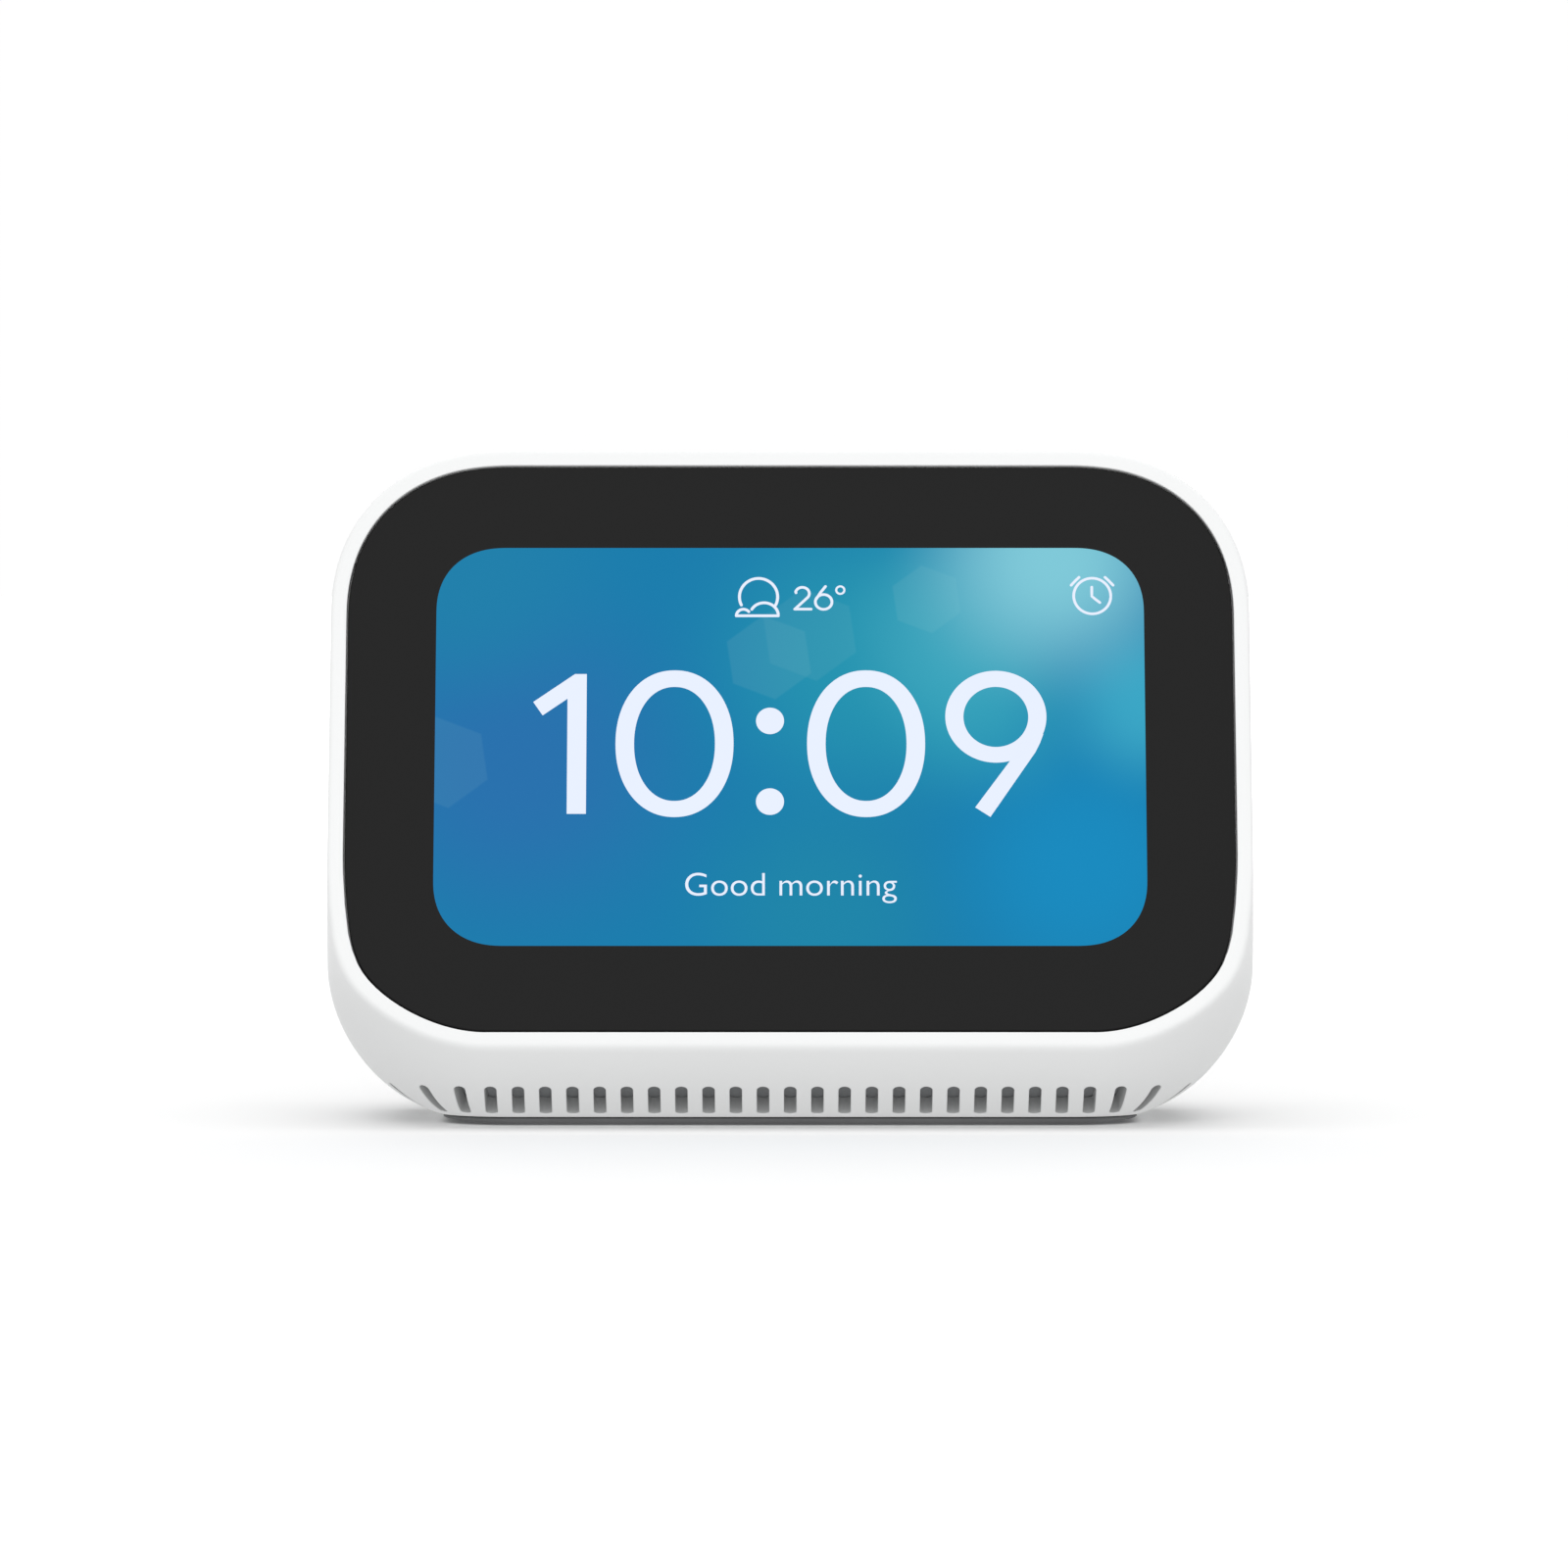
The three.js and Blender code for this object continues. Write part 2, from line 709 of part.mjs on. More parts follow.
// Screw with a flat round head, shank pointing up from the head.
function screw(length, head = screwHead, shank = screwShank) {
  const body = turned([
    [0, 0],
    [head, 0],
    [head, screwHeadHeight],
    [shank, screwHeadHeight],
    [shank, screwHeadHeight + length - 0.6],
    [0, screwHeadHeight + length],
  ], 0, 0, 14);
  const recess = block([-head * 0.55, head * 0.55], [-0.25, 0.25], [-1, 0.5]);
  const crossRecess = block([-0.25, 0.25], [-head * 0.55, head * 0.55], [-1, 0.5]);
  return body.subtract(recess).subtract(crossRecess);
}

const steelColour = 0xb9bcc0;
let screwNumber = 0;
for (const side of [-1, 1]) {
  for (const depth of baseScrewDepths) {
    screwNumber += 1;
    const placed = screw(8).translate([side * baseScrewX, depth, bodyFloorZ + 0.2]);
    addPiece(`base_screw_${screwNumber}`, placed, steelColour, 0.35, 1);
  }
}

// Dust cloth glued behind the slots.
const clothGap = 0.2;
const clothThickness = 0.4;
const clothZone = block([-everywhere, everywhere], [-10, splitDepth - 1.2], [bodyFloorZ + wall + fitGap, 8]);
const clothOuter = bodyLoft(bodyFloorZ + wall + clothGap, wall + clothGap);
const clothInner = bodyLoft(bodyFloorZ + wall + clothGap + clothThickness, wall + clothGap + clothThickness);
const clothFloorCut = slab(baseOutline(-0.6), [0, 8]);
const cloth = clothOuter.intersect(clothZone).intersect(behindFace(ledgeBack + clothGap))
  .subtract(clothInner)
  .subtract(clothFloorCut);
addPiece('slot_cloth', cloth, 0x3b3c3e, 0.95, 0);

// ---------------------------------------------------------------- screen stack
const glassBack = glassRecess + glassThickness;
const coverGlass = onFace(slab(faceOutline(rimBand), [-glassBack, -glassRecess]));
addPiece('cover_glass', coverGlass, 0x1b1b1c, 0.2, 0);

const tapeFront = glassBack + closeGap;
const tapeWindow = roundedOutline(moduleWidth + 2.6, moduleHeight + 2.6, 2.5, 0, moduleCentre);
const tape = onFace(
  slab(faceOutline(rimBand + 0.5), [-tapeFront - tapeThickness, -tapeFront])
    .subtract(slab(tapeWindow, [-tapeFront - 1, 0])),
).subtract(ribbonNotch);
addPiece('glass_adhesive', tape, 0x202020, 0.9, 0);

const panelThickness = 1.4;
const panelFront = glassBack + closeGap;
const panelBack = panelFront + panelThickness;
const panelShape = roundedOutline(moduleWidth - 2, moduleHeight - 1.6, 0.6, 0, moduleCentre);
addPiece('lcd_panel', onFace(slab(panelShape, [-panelBack, -panelFront])), 0x2c4a5e, 0.25, 0);

const lightFront = panelBack + closeGap;
const lightBack = lightFront + 2.2;
const lightShape = roundedOutline(moduleWidth, moduleHeight, 1, 0, moduleCentre);
addPiece('backlight', onFace(slab(lightShape, [-lightBack, -lightFront])), 0xe9eaea, 0.5, 0);

// Steel tray that presses the screen module against the ledge.
const trayFront = lightBack + 0.2;
const traySheet = 0.8;
const trayBack = trayFront + traySheet;
const trayFlange = ledgeBack + fitGap;
const trayWidth = moduleWidth + windowMargin + 3;
const trayHeight = moduleHeight + windowMargin + 3;
const trayParts = [
  slab(roundedOutline(trayWidth, trayHeight, 2, 0, moduleCentre), [-trayBack, -trayFlange])
    .subtract(slab(
      roundedOutline(trayWidth - 1.6, trayHeight - 1.6, 1.2, 0, moduleCentre),
      [-trayFront, 0],
    )),
];
const trayHoles = [];
const trayScrewShank = 0.7;
const trayEar = [-displayBossBack - closeGap - traySheet, -displayBossBack - closeGap];
for (const side of [-1, 1]) {
  for (const height of displayBossHeights) {
    const ear = block(
      [side > 0 ? trayWidth / 2 - 1.5 : -displayBossX - 2, side > 0 ? displayBossX + 2 : 1.5 - trayWidth / 2],
      [height - 2.2, height + 2.2],
      trayEar,
    );
    trayParts.push(ear);
    trayHoles.push(post(side * displayBossX, height, [-20, 0], 1, 12));
  }
}
const flexNotch = block([-12, 12], [0, moduleCentre - trayHeight / 2 + 3], [-trayBack - 1, -trayFlange + 1]);
const tray = joined(trayParts).subtract(joined(trayHoles)).subtract(flexNotch);
addPiece('display_bracket', onFace(tray), 0xa9adb1, 0.4, 1);

screwNumber = 0;
for (const side of [-1, 1]) {
  for (const height of displayBossHeights) {
    screwNumber += 1;
    const placed = screw(2.6, 1.6, trayScrewShank)
      .translate([side * displayBossX, height, trayEar[0] - closeGap - screwHeadHeight]);
    addPiece(`display_screw_${screwNumber}`, onFace(placed), steelColour, 0.35, 1);
  }
}

// ---------------------------------------------------------------- speaker
const flangeHalf = 18;
const surroundOuter = 16.4;
const coneOuter = 13.2;
const coilRadius = 6.6;
const basketTopZ = speakerFaceZ + 8.2;
const flangeTopZ = speakerFaceZ + 1;
const boxHoleRadius = 17;

// Sealed plastic box above the driver, its front sloped like the screen.
const boxSlope = (boxTopZ - boxBottomZ) * Math.tan(faceTilt);
const boxSection = [
  [boxFront, boxBottomZ],
  [boxBack, boxBottomZ],
  [boxBack, boxTopZ],
  [boxFront + boxSlope, boxTopZ],
];
const boxInside = [
  [boxFront + boxWall * 1.5, boxBottomZ + boxWall],
  [boxBack - boxWall, boxBottomZ + boxWall],
  [boxBack - boxWall, boxTopZ - boxWall],
  [boxFront + boxSlope + boxWall * 0.7, boxTopZ - boxWall],
];
const speakerBox = sideSlab(boxSection, [-boxHalfWidth, boxHalfWidth])
  .subtract(sideSlab(boxInside, [-boxHalfWidth + boxWall, boxHalfWidth - boxWall]))
  .subtract(post(0, speakerDepth, [boxBottomZ - 1, boxBottomZ + boxWall + 1], boxHoleRadius, 36));
addPiece('speaker_box', speakerBox, 0x2a2b2d, 0.7, 0);

const gasketShape = roundedOutline(flangeHalf * 2, flangeHalf * 2, 3, 0, speakerDepth);
const gasket = slab(gasketShape, [flangeTopZ + closeGap, boxBottomZ - closeGap])
  .subtract(post(0, speakerDepth, [0, 40], boxHoleRadius, 36));
addPiece('speaker_gasket', gasket, 0x1f1f20, 0.95, 0);

// Pressed steel basket: square flange, four arms and a ring under the magnet.
const basketShell = turned(closedProfile([
  [surroundOuter - 0.2, speakerFaceZ + 0.2],
  [surroundOuter + 0.4, speakerFaceZ + 0.2],
  [surroundOuter + 0.4, flangeTopZ + 1.4],
  [coilRadius + 6.6, basketTopZ],
  [coilRadius + 1, basketTopZ],
  [coilRadius + 1, basketTopZ - 0.8],
  [coilRadius + 6, basketTopZ - 0.8],
  [surroundOuter - 0.2, flangeTopZ + 1.1],
]), 0, speakerDepth, 36);
const basketFlange = slab(gasketShape, [speakerFaceZ + 0.2, flangeTopZ])
  .subtract(post(0, speakerDepth, [0, 40], surroundOuter - 0.1, 36));
const basketWindows = [];
for (let arm = 0; arm < 4; arm += 1) {
  const window = block([6, 24], [-5, 5], [flangeTopZ + 1.6, basketTopZ - 1])
    .rotate([0, 0, arm * 90])
    .translate([0, speakerDepth, 0]);
  basketWindows.push(window);
}
const basket = basketShell.subtract(joined(basketWindows)).add(basketFlange);
addPiece('speaker_basket', basket, 0x3a3c3f, 0.5, 0.8);

const plateBottomZ = basketTopZ + closeGap;
const plateTopZ = plateBottomZ + 2;
const magnetBottomZ = plateTopZ + closeGap;
const magnetTopZ = magnetBottomZ + 4.6;
const yokeBottomZ = magnetTopZ + closeGap;
const yokeTopZ = yokeBottomZ + 2;
const gapInner = coilRadius - 0.8;
const gapOuter = coilRadius + 0.9;
addPiece('speaker_top_plate', turned(closedProfile([
  [gapOuter, plateBottomZ],
  [11.5, plateBottomZ],
  [11.5, plateTopZ],
  [gapOuter, plateTopZ],
]), 0, speakerDepth, 24), 0x9fa3a7, 0.4, 1);
addPiece('speaker_magnet', turned(closedProfile([
  [8.4, magnetBottomZ],
  [12, magnetBottomZ],
  [12, magnetTopZ],
  [8.4, magnetTopZ],
]), 0, speakerDepth, 24), 0x2e2f31, 0.6, 0.1);
addPiece('speaker_yoke', turned([
  [0, plateBottomZ - 0.2],
  [gapInner, plateBottomZ - 0.2],
  [gapInner, yokeBottomZ],
  [11.5, yokeBottomZ],
  [11.5, yokeTopZ],
  [0, yokeTopZ],
], 0, speakerDepth, 24), 0x9fa3a7, 0.4, 1);

const coneOuterZ = speakerFaceZ + 0.9;
const coneInnerZ = speakerFaceZ + 5;
const skin = 0.45;
const coilTopZ = plateTopZ + 1.4;
addPiece('speaker_voice_coil', turned(closedProfile([
  [coilRadius - 0.2, coneInnerZ + skin + closeGap],
  [coilRadius + 0.3, coneInnerZ + skin + closeGap],
  [coilRadius + 0.3, coilTopZ],
  [coilRadius - 0.2, coilTopZ],
]), 0, speakerDepth, 24), 0xb0703c, 0.4, 0.8);
addPiece('speaker_cone', turned(closedProfile([
  [coilRadius - 0.6, coneInnerZ],
  [coneOuter, coneOuterZ],
  [coneOuter, coneOuterZ + skin],
  [coilRadius + 0.6, coneInnerZ + skin],
  [coilRadius - 0.6, coneInnerZ + skin],
]), 0, speakerDepth, 24), 0x26272a, 0.85, 0);

const capRadius = coilRadius + 0.8;
const capRise = 2.2;
const capEdgeZ = speakerFaceZ + 4;
const capOutside = [];
const capInside = [];
for (let step = 0; step <= 6; step += 1) {
  const share = step / 6;
  const drop = capRise * Math.cos(share * Math.PI / 2);
  capOutside.push([capRadius * share, capEdgeZ - drop]);
  capInside.push([(capRadius - skin) * share, capEdgeZ - drop + skin]);
}
const dustCap = turned([...capOutside, ...capInside.reverse()], 0, speakerDepth, 24);
addPiece('speaker_dust_cap', dustCap, 0x1c1d1f, 0.5, 0);

const rollInner = coneOuter + 0.25;
const rollOuter = surroundOuter - 0.45;
const rollMiddle = (rollInner + rollOuter) / 2;
const rollHalf = (rollOuter - rollInner) / 2;
const rollBase = coneOuterZ;
const rollLow = [];
const rollHigh = [];
for (let step = 0; step <= 6; step += 1) {
  const turn = step / 6 * Math.PI;
  const x = rollMiddle - rollHalf * Math.cos(turn);
  rollLow.push([x, rollBase - rollHalf * 0.5 * Math.sin(turn)]);
  rollHigh.push([x, rollBase + skin - rollHalf * 0.5 * Math.sin(turn)]);
}
const surround = turned(closedProfile([...rollLow, ...rollHigh.reverse()]), 0, speakerDepth, 24);
addPiece('speaker_surround', surround, 0x17181a, 0.8, 0);

// ---------------------------------------------------------------- main board
const boardBack = boardFront + boardThickness;
const boardHoles = [];
for (const side of [-1, 1]) {
  for (const z of boardHoleZs) {
    boardHoles.push(levelPost(side * boardHoleX, [boardFront - 1, boardBack + 1], z, screwHole, 12));
  }
}
const mainBoard = block([-boardHalfWidth, boardHalfWidth], [boardFront, boardBack], [boardBottomZ, boardTopZ])
  .subtract(joined(boardHoles));
addPiece('main_board', mainBoard, 0x1d5c3c, 0.5, 0);

screwNumber = 0;
for (const side of [-1, 1]) {
  for (const z of boardHoleZs) {
    screwNumber += 1;
    const placed = screw(4.6)
      .rotate([-90, 0, 0])
      .translate([side * boardHoleX, boardFront - closeGap - screwHeadHeight, z]);
    addPiece(`board_screw_${screwNumber}`, placed, steelColour, 0.35, 1);
  }
}

// Shield over the processor, with an aluminium spreader on top of it.
const shieldDepth = 2.2;
const shieldX = [4, 32];
const shieldZ = [42, 62];
const shieldFront = boardFront - closeGap - shieldDepth;
const shield = block(shieldX, [shieldFront, boardFront - closeGap], shieldZ)
  .subtract(block(
    [shieldX[0] + 0.3, shieldX[1] - 0.3],
    [shieldFront + 0.3, boardFront],
    [shieldZ[0] + 0.3, shieldZ[1] - 0.3],
  ));
addPiece('shield_can', shield, 0xc4c7ca, 0.35, 1);

const spreader = block(
  [shieldX[0] + 1, shieldX[1] - 1],
  [shieldFront - closeGap - 1, shieldFront - closeGap],
  [shieldZ[0] + 1, shieldZ[1] - 1],
);
addPiece('heat_spreader', spreader, 0xcfd2d5, 0.45, 1);

// Wireless antenna on the left wall and its coaxial lead.
const antennaX = bodyWidth / 2 - wall - fitGap - 0.4;
const antenna = block([-antennaX - 0.4, -antennaX], [27, 41], [42, 54]);
addPiece('wifi_antenna', antenna, 0xc08a3a, 0.5, 0.2);
const antennaLead = lead([
  [-antennaX + 0.8, 34, 48],
  [-antennaX + 3, 40, 50],
  [-46, 47, 55],
  [-36, 49.5, 56],
  [-28, boardFront - 1.2, 54],
], 0.55);
addPiece('antenna_cable', antennaLead, 0x2b2b2d, 0.6, 0);

// ---------------------------------------------------------------- power inlet
const jackBack = backAt(jackZ + 5.3, wall) - fitGap - 0.2;
const jackBody = block([jackX - 4.7, jackX + 4.7], [boardBack + closeGap, jackBack], [jackZ - 5.3, jackZ + 5.3])
  .subtract(levelPost(jackX, [boardBack + 1.6, jackBack + 1], jackZ, jackMouthRadius));
addPiece('dc_jack', jackBody, 0x26272a, 0.5, 0);
const pinRadius = 1;
const jackPin = levelPost(jackX, [boardBack + 1.7, jackBack - 0.6], jackZ, pinRadius, 16);
addPiece('dc_jack_pin', jackPin, 0xc9cccf, 0.3, 1);

// ---------------------------------------------------------------- microphone switch
const switchDepth = 2.6;
const switchFront = boardBack + closeGap;
const switchBack = switchFront + switchDepth;
const leverHalf = 0.7;
const switchBody = block([muteX - 3.6, muteX + 5.6], [switchFront, switchBack], [muteZ - 1.8, muteZ + 1.8])
  .subtract(block(
    [muteX - leverHalf - fitGap, muteX + leverHalf + muteTravel + fitGap],
    [switchBack - 1, switchBack + 1],
    [muteZ - leverHalf - fitGap, muteZ + leverHalf + fitGap],
  ));
addPiece('mute_switch', switchBody, 0xb9bcc0, 0.4, 0.9);

const leverTop = switchBack + 2.2;
const lever = block(
  [muteX - leverHalf, muteX + leverHalf],
  [switchBack - 0.9, leverTop],
  [muteZ - leverHalf, muteZ + leverHalf],
);
addPiece('mute_switch_lever', lever, 0x2b2c2e, 0.6, 0);

// Sliding knob: a flange inside the wall, the knob in its slot and a socket on the lever.
const muteWallInner = backAt(muteZ + muteKnobHeight, wall);
const muteWallOuter = backAt(muteZ, 0);
const flangeBack = muteWallInner - fitGap;
const flangeFront = flangeBack - 0.8;
const knob = joined([
  block(
    [muteX - muteKnobLength / 2 - 2.6, muteX + muteKnobLength / 2 + 2.6],
    [flangeFront, flangeBack],
    [muteZ - muteKnobHeight / 2 - 1.4, muteZ + muteKnobHeight / 2 + 1.4],
  ),
  block(
    [muteX - muteKnobLength / 2, muteX + muteKnobLength / 2],
    [flangeBack - 0.1, muteWallOuter - 0.3],
    [muteZ - muteKnobHeight / 2, muteZ + muteKnobHeight / 2],
  ),
  block(
    [muteX - 1.8, muteX + 1.8],
    [switchBack + 0.4, flangeFront + 0.1],
    [muteZ - 1.6, muteZ + 1.6],
  ).subtract(block(
    [muteX - leverHalf - closeGap, muteX + leverHalf + closeGap],
    [switchBack, leverTop + 0.2],
    [muteZ - leverHalf - closeGap, muteZ + leverHalf + closeGap],
  )),
]);
addPiece('mic_mute_slider', knob, 0x9a9da0, 0.5, 0);

// ---------------------------------------------------------------- keys and microphones
const keyTopZ = bodyHeight - 0.1;
const keyFlangeTopZ = bodyHeight - wall - fitGap;
const keyFlangeThickness = 0.6;
const stemTopZ = keyFlangeTopZ - keyFlangeThickness - closeGap;
const switchTopZ = keyBoardTopZ + closeGap + 1.6;
const names = { '-1': 'volume_down', 1: 'volume_up' };
for (const side of [-1, 1]) {
  const x = side * keyOffset;
  const cap = slab(roundedOutline(keyLength, keyWidth, keyWidth / 2 - 0.01, x, keyDepth), [
    keyFlangeTopZ - keyFlangeThickness,
    keyTopZ,
  ], 6).add(slab(roundedOutline(keyLength + 1.8, keyWidth + 1.8, keyWidth / 2, x, keyDepth), [
    keyFlangeTopZ - keyFlangeThickness,
    keyFlangeTopZ,
  ], 6));
  addPiece(`${names[side]}_key`, cap, 0xeceded, 0.55, 0);
  const stem = post(x, keyDepth, [switchTopZ - 0.8, stemTopZ], 1.2, 16);
  addPiece(`${names[side]}_stem`, stem, 0x1f2022, 0.6, 0);
  const switchCase = block(
    [x - 2.6, x + 2.6],
    [keyDepth - 2.6, keyDepth + 2.6],
    [keyBoardTopZ + closeGap, switchTopZ],
  ).subtract(post(x, keyDepth, [switchTopZ - 0.8 - keyTravel - 0.2, switchTopZ + 1], 1.4, 16));
  addPiece(`${names[side]}_switch`, switchCase, 0xb4b7ba, 0.4, 0.9);
}

const keyBoardHoles = [];
for (const side of [-1, 1]) {
  keyBoardHoles.push(post(side * keyBossOffset, keyDepth, [0, bodyHeight], screwHole, 12));
}
const keyBoard = block(
  [-keyBoardHalfWidth, keyBoardHalfWidth],
  [keyDepth - keyBoardHalfDepth, keyDepth + keyBoardHalfDepth],
  [keyBoardTopZ - keyBoardThickness, keyBoardTopZ],
).subtract(joined(keyBoardHoles));
addPiece('key_board', keyBoard, 0x1d5c3c, 0.5, 0);
screwNumber = 0;
for (const side of [-1, 1]) {
  screwNumber += 1;
  const low = keyBoardTopZ - keyBoardThickness - closeGap - screwHeadHeight;
  const placed = screw(4).translate([side * keyBossOffset, keyDepth, low]);
  addPiece(`key_board_screw_${screwNumber}`, placed, steelColour, 0.35, 1);
}

const micTopZ = keyBoardTopZ + closeGap + 1.1;
const bootTopZ = bodyHeight - wall - closeGap;
const micNames = { '-1': 'left_microphone', 1: 'right_microphone' };
for (const side of [-1, 1]) {
  const x = side * micOffset;
  const capsule = block([x - 1.9, x + 1.9], [keyDepth - 1.4, keyDepth + 1.4], [keyBoardTopZ + closeGap, micTopZ])
    .subtract(post(x, keyDepth, [micTopZ - 0.4, micTopZ + 1], 0.4, 12));
  addPiece(micNames[side], capsule, 0xc9b27a, 0.35, 1);
  const boot = post(x, keyDepth, [micTopZ + closeGap, bootTopZ], 2.6)
    .subtract(post(x, keyDepth, [0, bodyHeight], 0.7, 12));
  addPiece(`${micNames[side]}_boot`, boot, 0x202123, 0.9, 0);
}

// ---------------------------------------------------------------- flat cables and leads
function facePoint(height, depth) {
  const point = new THREE.Vector3(0, height, -depth).applyMatrix4(faceFrame);
  return [point.y, point.z];
}

const ribbonThickness = 0.25;
const ribbonStart = moduleCentre - moduleHeight / 2;
const boardReach = boardFront - 0.7;
addPiece('display_flex', ribbon([
  facePoint(ribbonStart - 0.6, panelBack - 0.6),
  facePoint(ribbonStart - 1.4, lightBack - 0.6),
  facePoint(ribbonStart - 0.6, trayBack + 0.6),
  facePoint(ribbonStart + 6, trayBack + 1.4),
  facePoint(32, trayBack + 1.5),
  [24, boxTopZ + 2.6],
  [46, boxTopZ + 1.6],
  [51, boxTopZ + 0.8],
  [boardReach - 0.4, boxTopZ - 1.6],
  [boardReach, boxTopZ - 4],
], ribbonThickness, [-9, 3]), 0xb9782f, 0.5, 0);
addPiece('touch_flex', ribbon([
  facePoint(ribbonStart - 1.6, tapeFront + 0.3),
  facePoint(ribbonStart - 2.4, lightBack - 0.6),
  facePoint(ribbonStart - 1, trayBack + 1.2),
  facePoint(ribbonStart + 6, trayBack + 2),
  facePoint(32, trayBack + 2.1),
  [24.5, boxTopZ + 3.2],
  [46, boxTopZ + 2.4],
  [51, boxTopZ + 1.6],
  [boardReach - 0.2, boxTopZ - 0.6],
  [boardReach, boxTopZ - 2.5],
], ribbonThickness, [5, 10]), 0xb9782f, 0.5, 0);
addPiece('key_flex', ribbon([
  [keyDepth + 4, keyBoardTopZ - keyBoardThickness - 0.4],
  [keyDepth + 8, keyBoardTopZ - keyBoardThickness - 1.2],
  [boardFront - 2.6, boardTopZ + 1],
  [boardFront - 0.6, boardTopZ - 4],
], ribbonThickness, [-14, -6]), 0xb9782f, 0.5, 0);
addPiece('speaker_cable', lead([
  [20, boxBack - 6, boxTopZ + 0.8],
  [20, boxBack - 0.6, boxTopZ + 1.3],
  [21, boxBack + 1.4, boxTopZ - 1],
  [22, boxBack + 1.4, boxTopZ - 6],
], 0.6), 0x8c2f2a, 0.6, 0);

export default display;
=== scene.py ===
# A small desk smart display: sloped glass screen in a white bowl-shaped housing,
# slots round the base for the speaker, two keys on top, a sliding microphone
# switch and a power inlet at the back. Shapes are worked out in millimetres from the
# front edge and made in metres, in the order in which the object goes together.
import json
import math

import bmesh
import bpy
import numpy as np
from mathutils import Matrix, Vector
from mathutils.geometry import delaunay_2d_cdt


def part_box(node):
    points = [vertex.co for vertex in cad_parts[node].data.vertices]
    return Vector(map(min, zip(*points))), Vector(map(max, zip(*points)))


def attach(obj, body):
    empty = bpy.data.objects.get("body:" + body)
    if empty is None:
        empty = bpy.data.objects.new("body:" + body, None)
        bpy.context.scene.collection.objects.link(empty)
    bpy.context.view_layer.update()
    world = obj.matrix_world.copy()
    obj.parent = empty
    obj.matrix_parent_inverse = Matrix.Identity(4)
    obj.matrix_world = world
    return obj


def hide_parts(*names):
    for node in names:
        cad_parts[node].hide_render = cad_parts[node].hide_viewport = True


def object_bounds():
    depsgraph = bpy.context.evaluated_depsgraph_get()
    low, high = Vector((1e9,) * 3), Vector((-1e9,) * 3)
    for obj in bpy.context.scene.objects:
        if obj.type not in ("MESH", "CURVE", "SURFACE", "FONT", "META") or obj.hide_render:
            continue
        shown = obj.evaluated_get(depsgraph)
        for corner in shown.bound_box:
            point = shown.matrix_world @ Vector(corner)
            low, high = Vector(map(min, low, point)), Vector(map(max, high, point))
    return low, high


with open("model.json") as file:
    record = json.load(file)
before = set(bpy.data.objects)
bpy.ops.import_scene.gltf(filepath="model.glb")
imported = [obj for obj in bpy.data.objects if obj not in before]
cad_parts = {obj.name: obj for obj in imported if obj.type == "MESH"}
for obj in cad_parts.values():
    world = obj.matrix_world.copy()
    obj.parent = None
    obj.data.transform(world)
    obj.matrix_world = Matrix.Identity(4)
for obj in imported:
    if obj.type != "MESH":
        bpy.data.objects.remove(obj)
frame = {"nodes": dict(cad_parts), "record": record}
cad_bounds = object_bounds()


# ---------------------------------------------------------------------------
# Housing shell: one white ABS moulding for the front, a second one for the back
# cover. The lower part flares out like a bowl; the front is one sloped plane with
# a narrow flat rim round the glass. Corners and slot edges are softly rounded.
MM = 0.001
shell_low, shell_high = cad_bounds
half_width = (shell_high[0] - shell_low[0]) / 2 / MM
depth = 68.0
height = (shell_high[2] - shell_low[2]) / MM
face_tilt = math.radians(22.5)
rim_bottom = 10.15
shell_floor = 1.0
bowl_radius = 19.5
bowl_start = math.radians(18)
base_corner = 9.0
back_lean = math.radians(6)
lean_blend = 20.0
side_curl = (22.0, 20.5, 2.25)
back_curl = (16.0, 15.0, 2.1)
split_y = 52.0
bowl_centre = shell_floor + bowl_radius * math.cos(bowl_start)
bowl_shift = bowl_radius * math.sin(bowl_start)
bowl_reach = bowl_radius - bowl_shift
# The front corners gain radius as the bowl widens, and gain less of it higher up.
corner_gain_low, corner_gain_high = 0.8, 0.25
gain_start, gain_height = 6.0, 18.0
least_back = 2.0


def flare(z):
    below = np.maximum(0.0, bowl_centre - z)
    return np.sqrt(np.maximum(0.0, bowl_radius ** 2 - below ** 2)) - bowl_shift


def curl(z, across, rise, power):
    part = np.clip((z - (height - rise)) / rise, 0.0, 1.0)
    return across * (1 - (1 - part ** power) ** (1 / power))


base_half = half_width - bowl_reach
base_front = float(flare(rim_bottom))
base_back = depth - bowl_reach


def section(z):
    """Half width, front, back and the two corner radii of the level outline at z."""
    out = flare(z)
    above = np.maximum(0.0, z - bowl_centre)
    run = np.where(above < lean_blend, above ** 2 / (2 * lean_blend), above - lean_blend / 2)
    half = base_half + out - curl(z, *side_curl)
    front = base_front - out
    back = base_back + out - run * math.tan(back_lean) - curl(z, *back_curl)
    blend = np.clip((z - gain_start) / gain_height, 0.0, 1.0)
    blend = blend * blend * (3 - 2 * blend)
    gain = corner_gain_low + (corner_gain_high - corner_gain_low) * blend
    front_corner = base_corner + out * gain
    back_corner = np.minimum(base_corner + out, half - least_back)
    return half, front, back, front_corner, back_corner


quarter = base_corner * math.pi / 2
front_end = base_half - base_corner
corner_end = front_end + quarter
side_end = corner_end + base_back - base_front - 2 * base_corner
back_start = side_end + quarter
loop_end = back_start + front_end


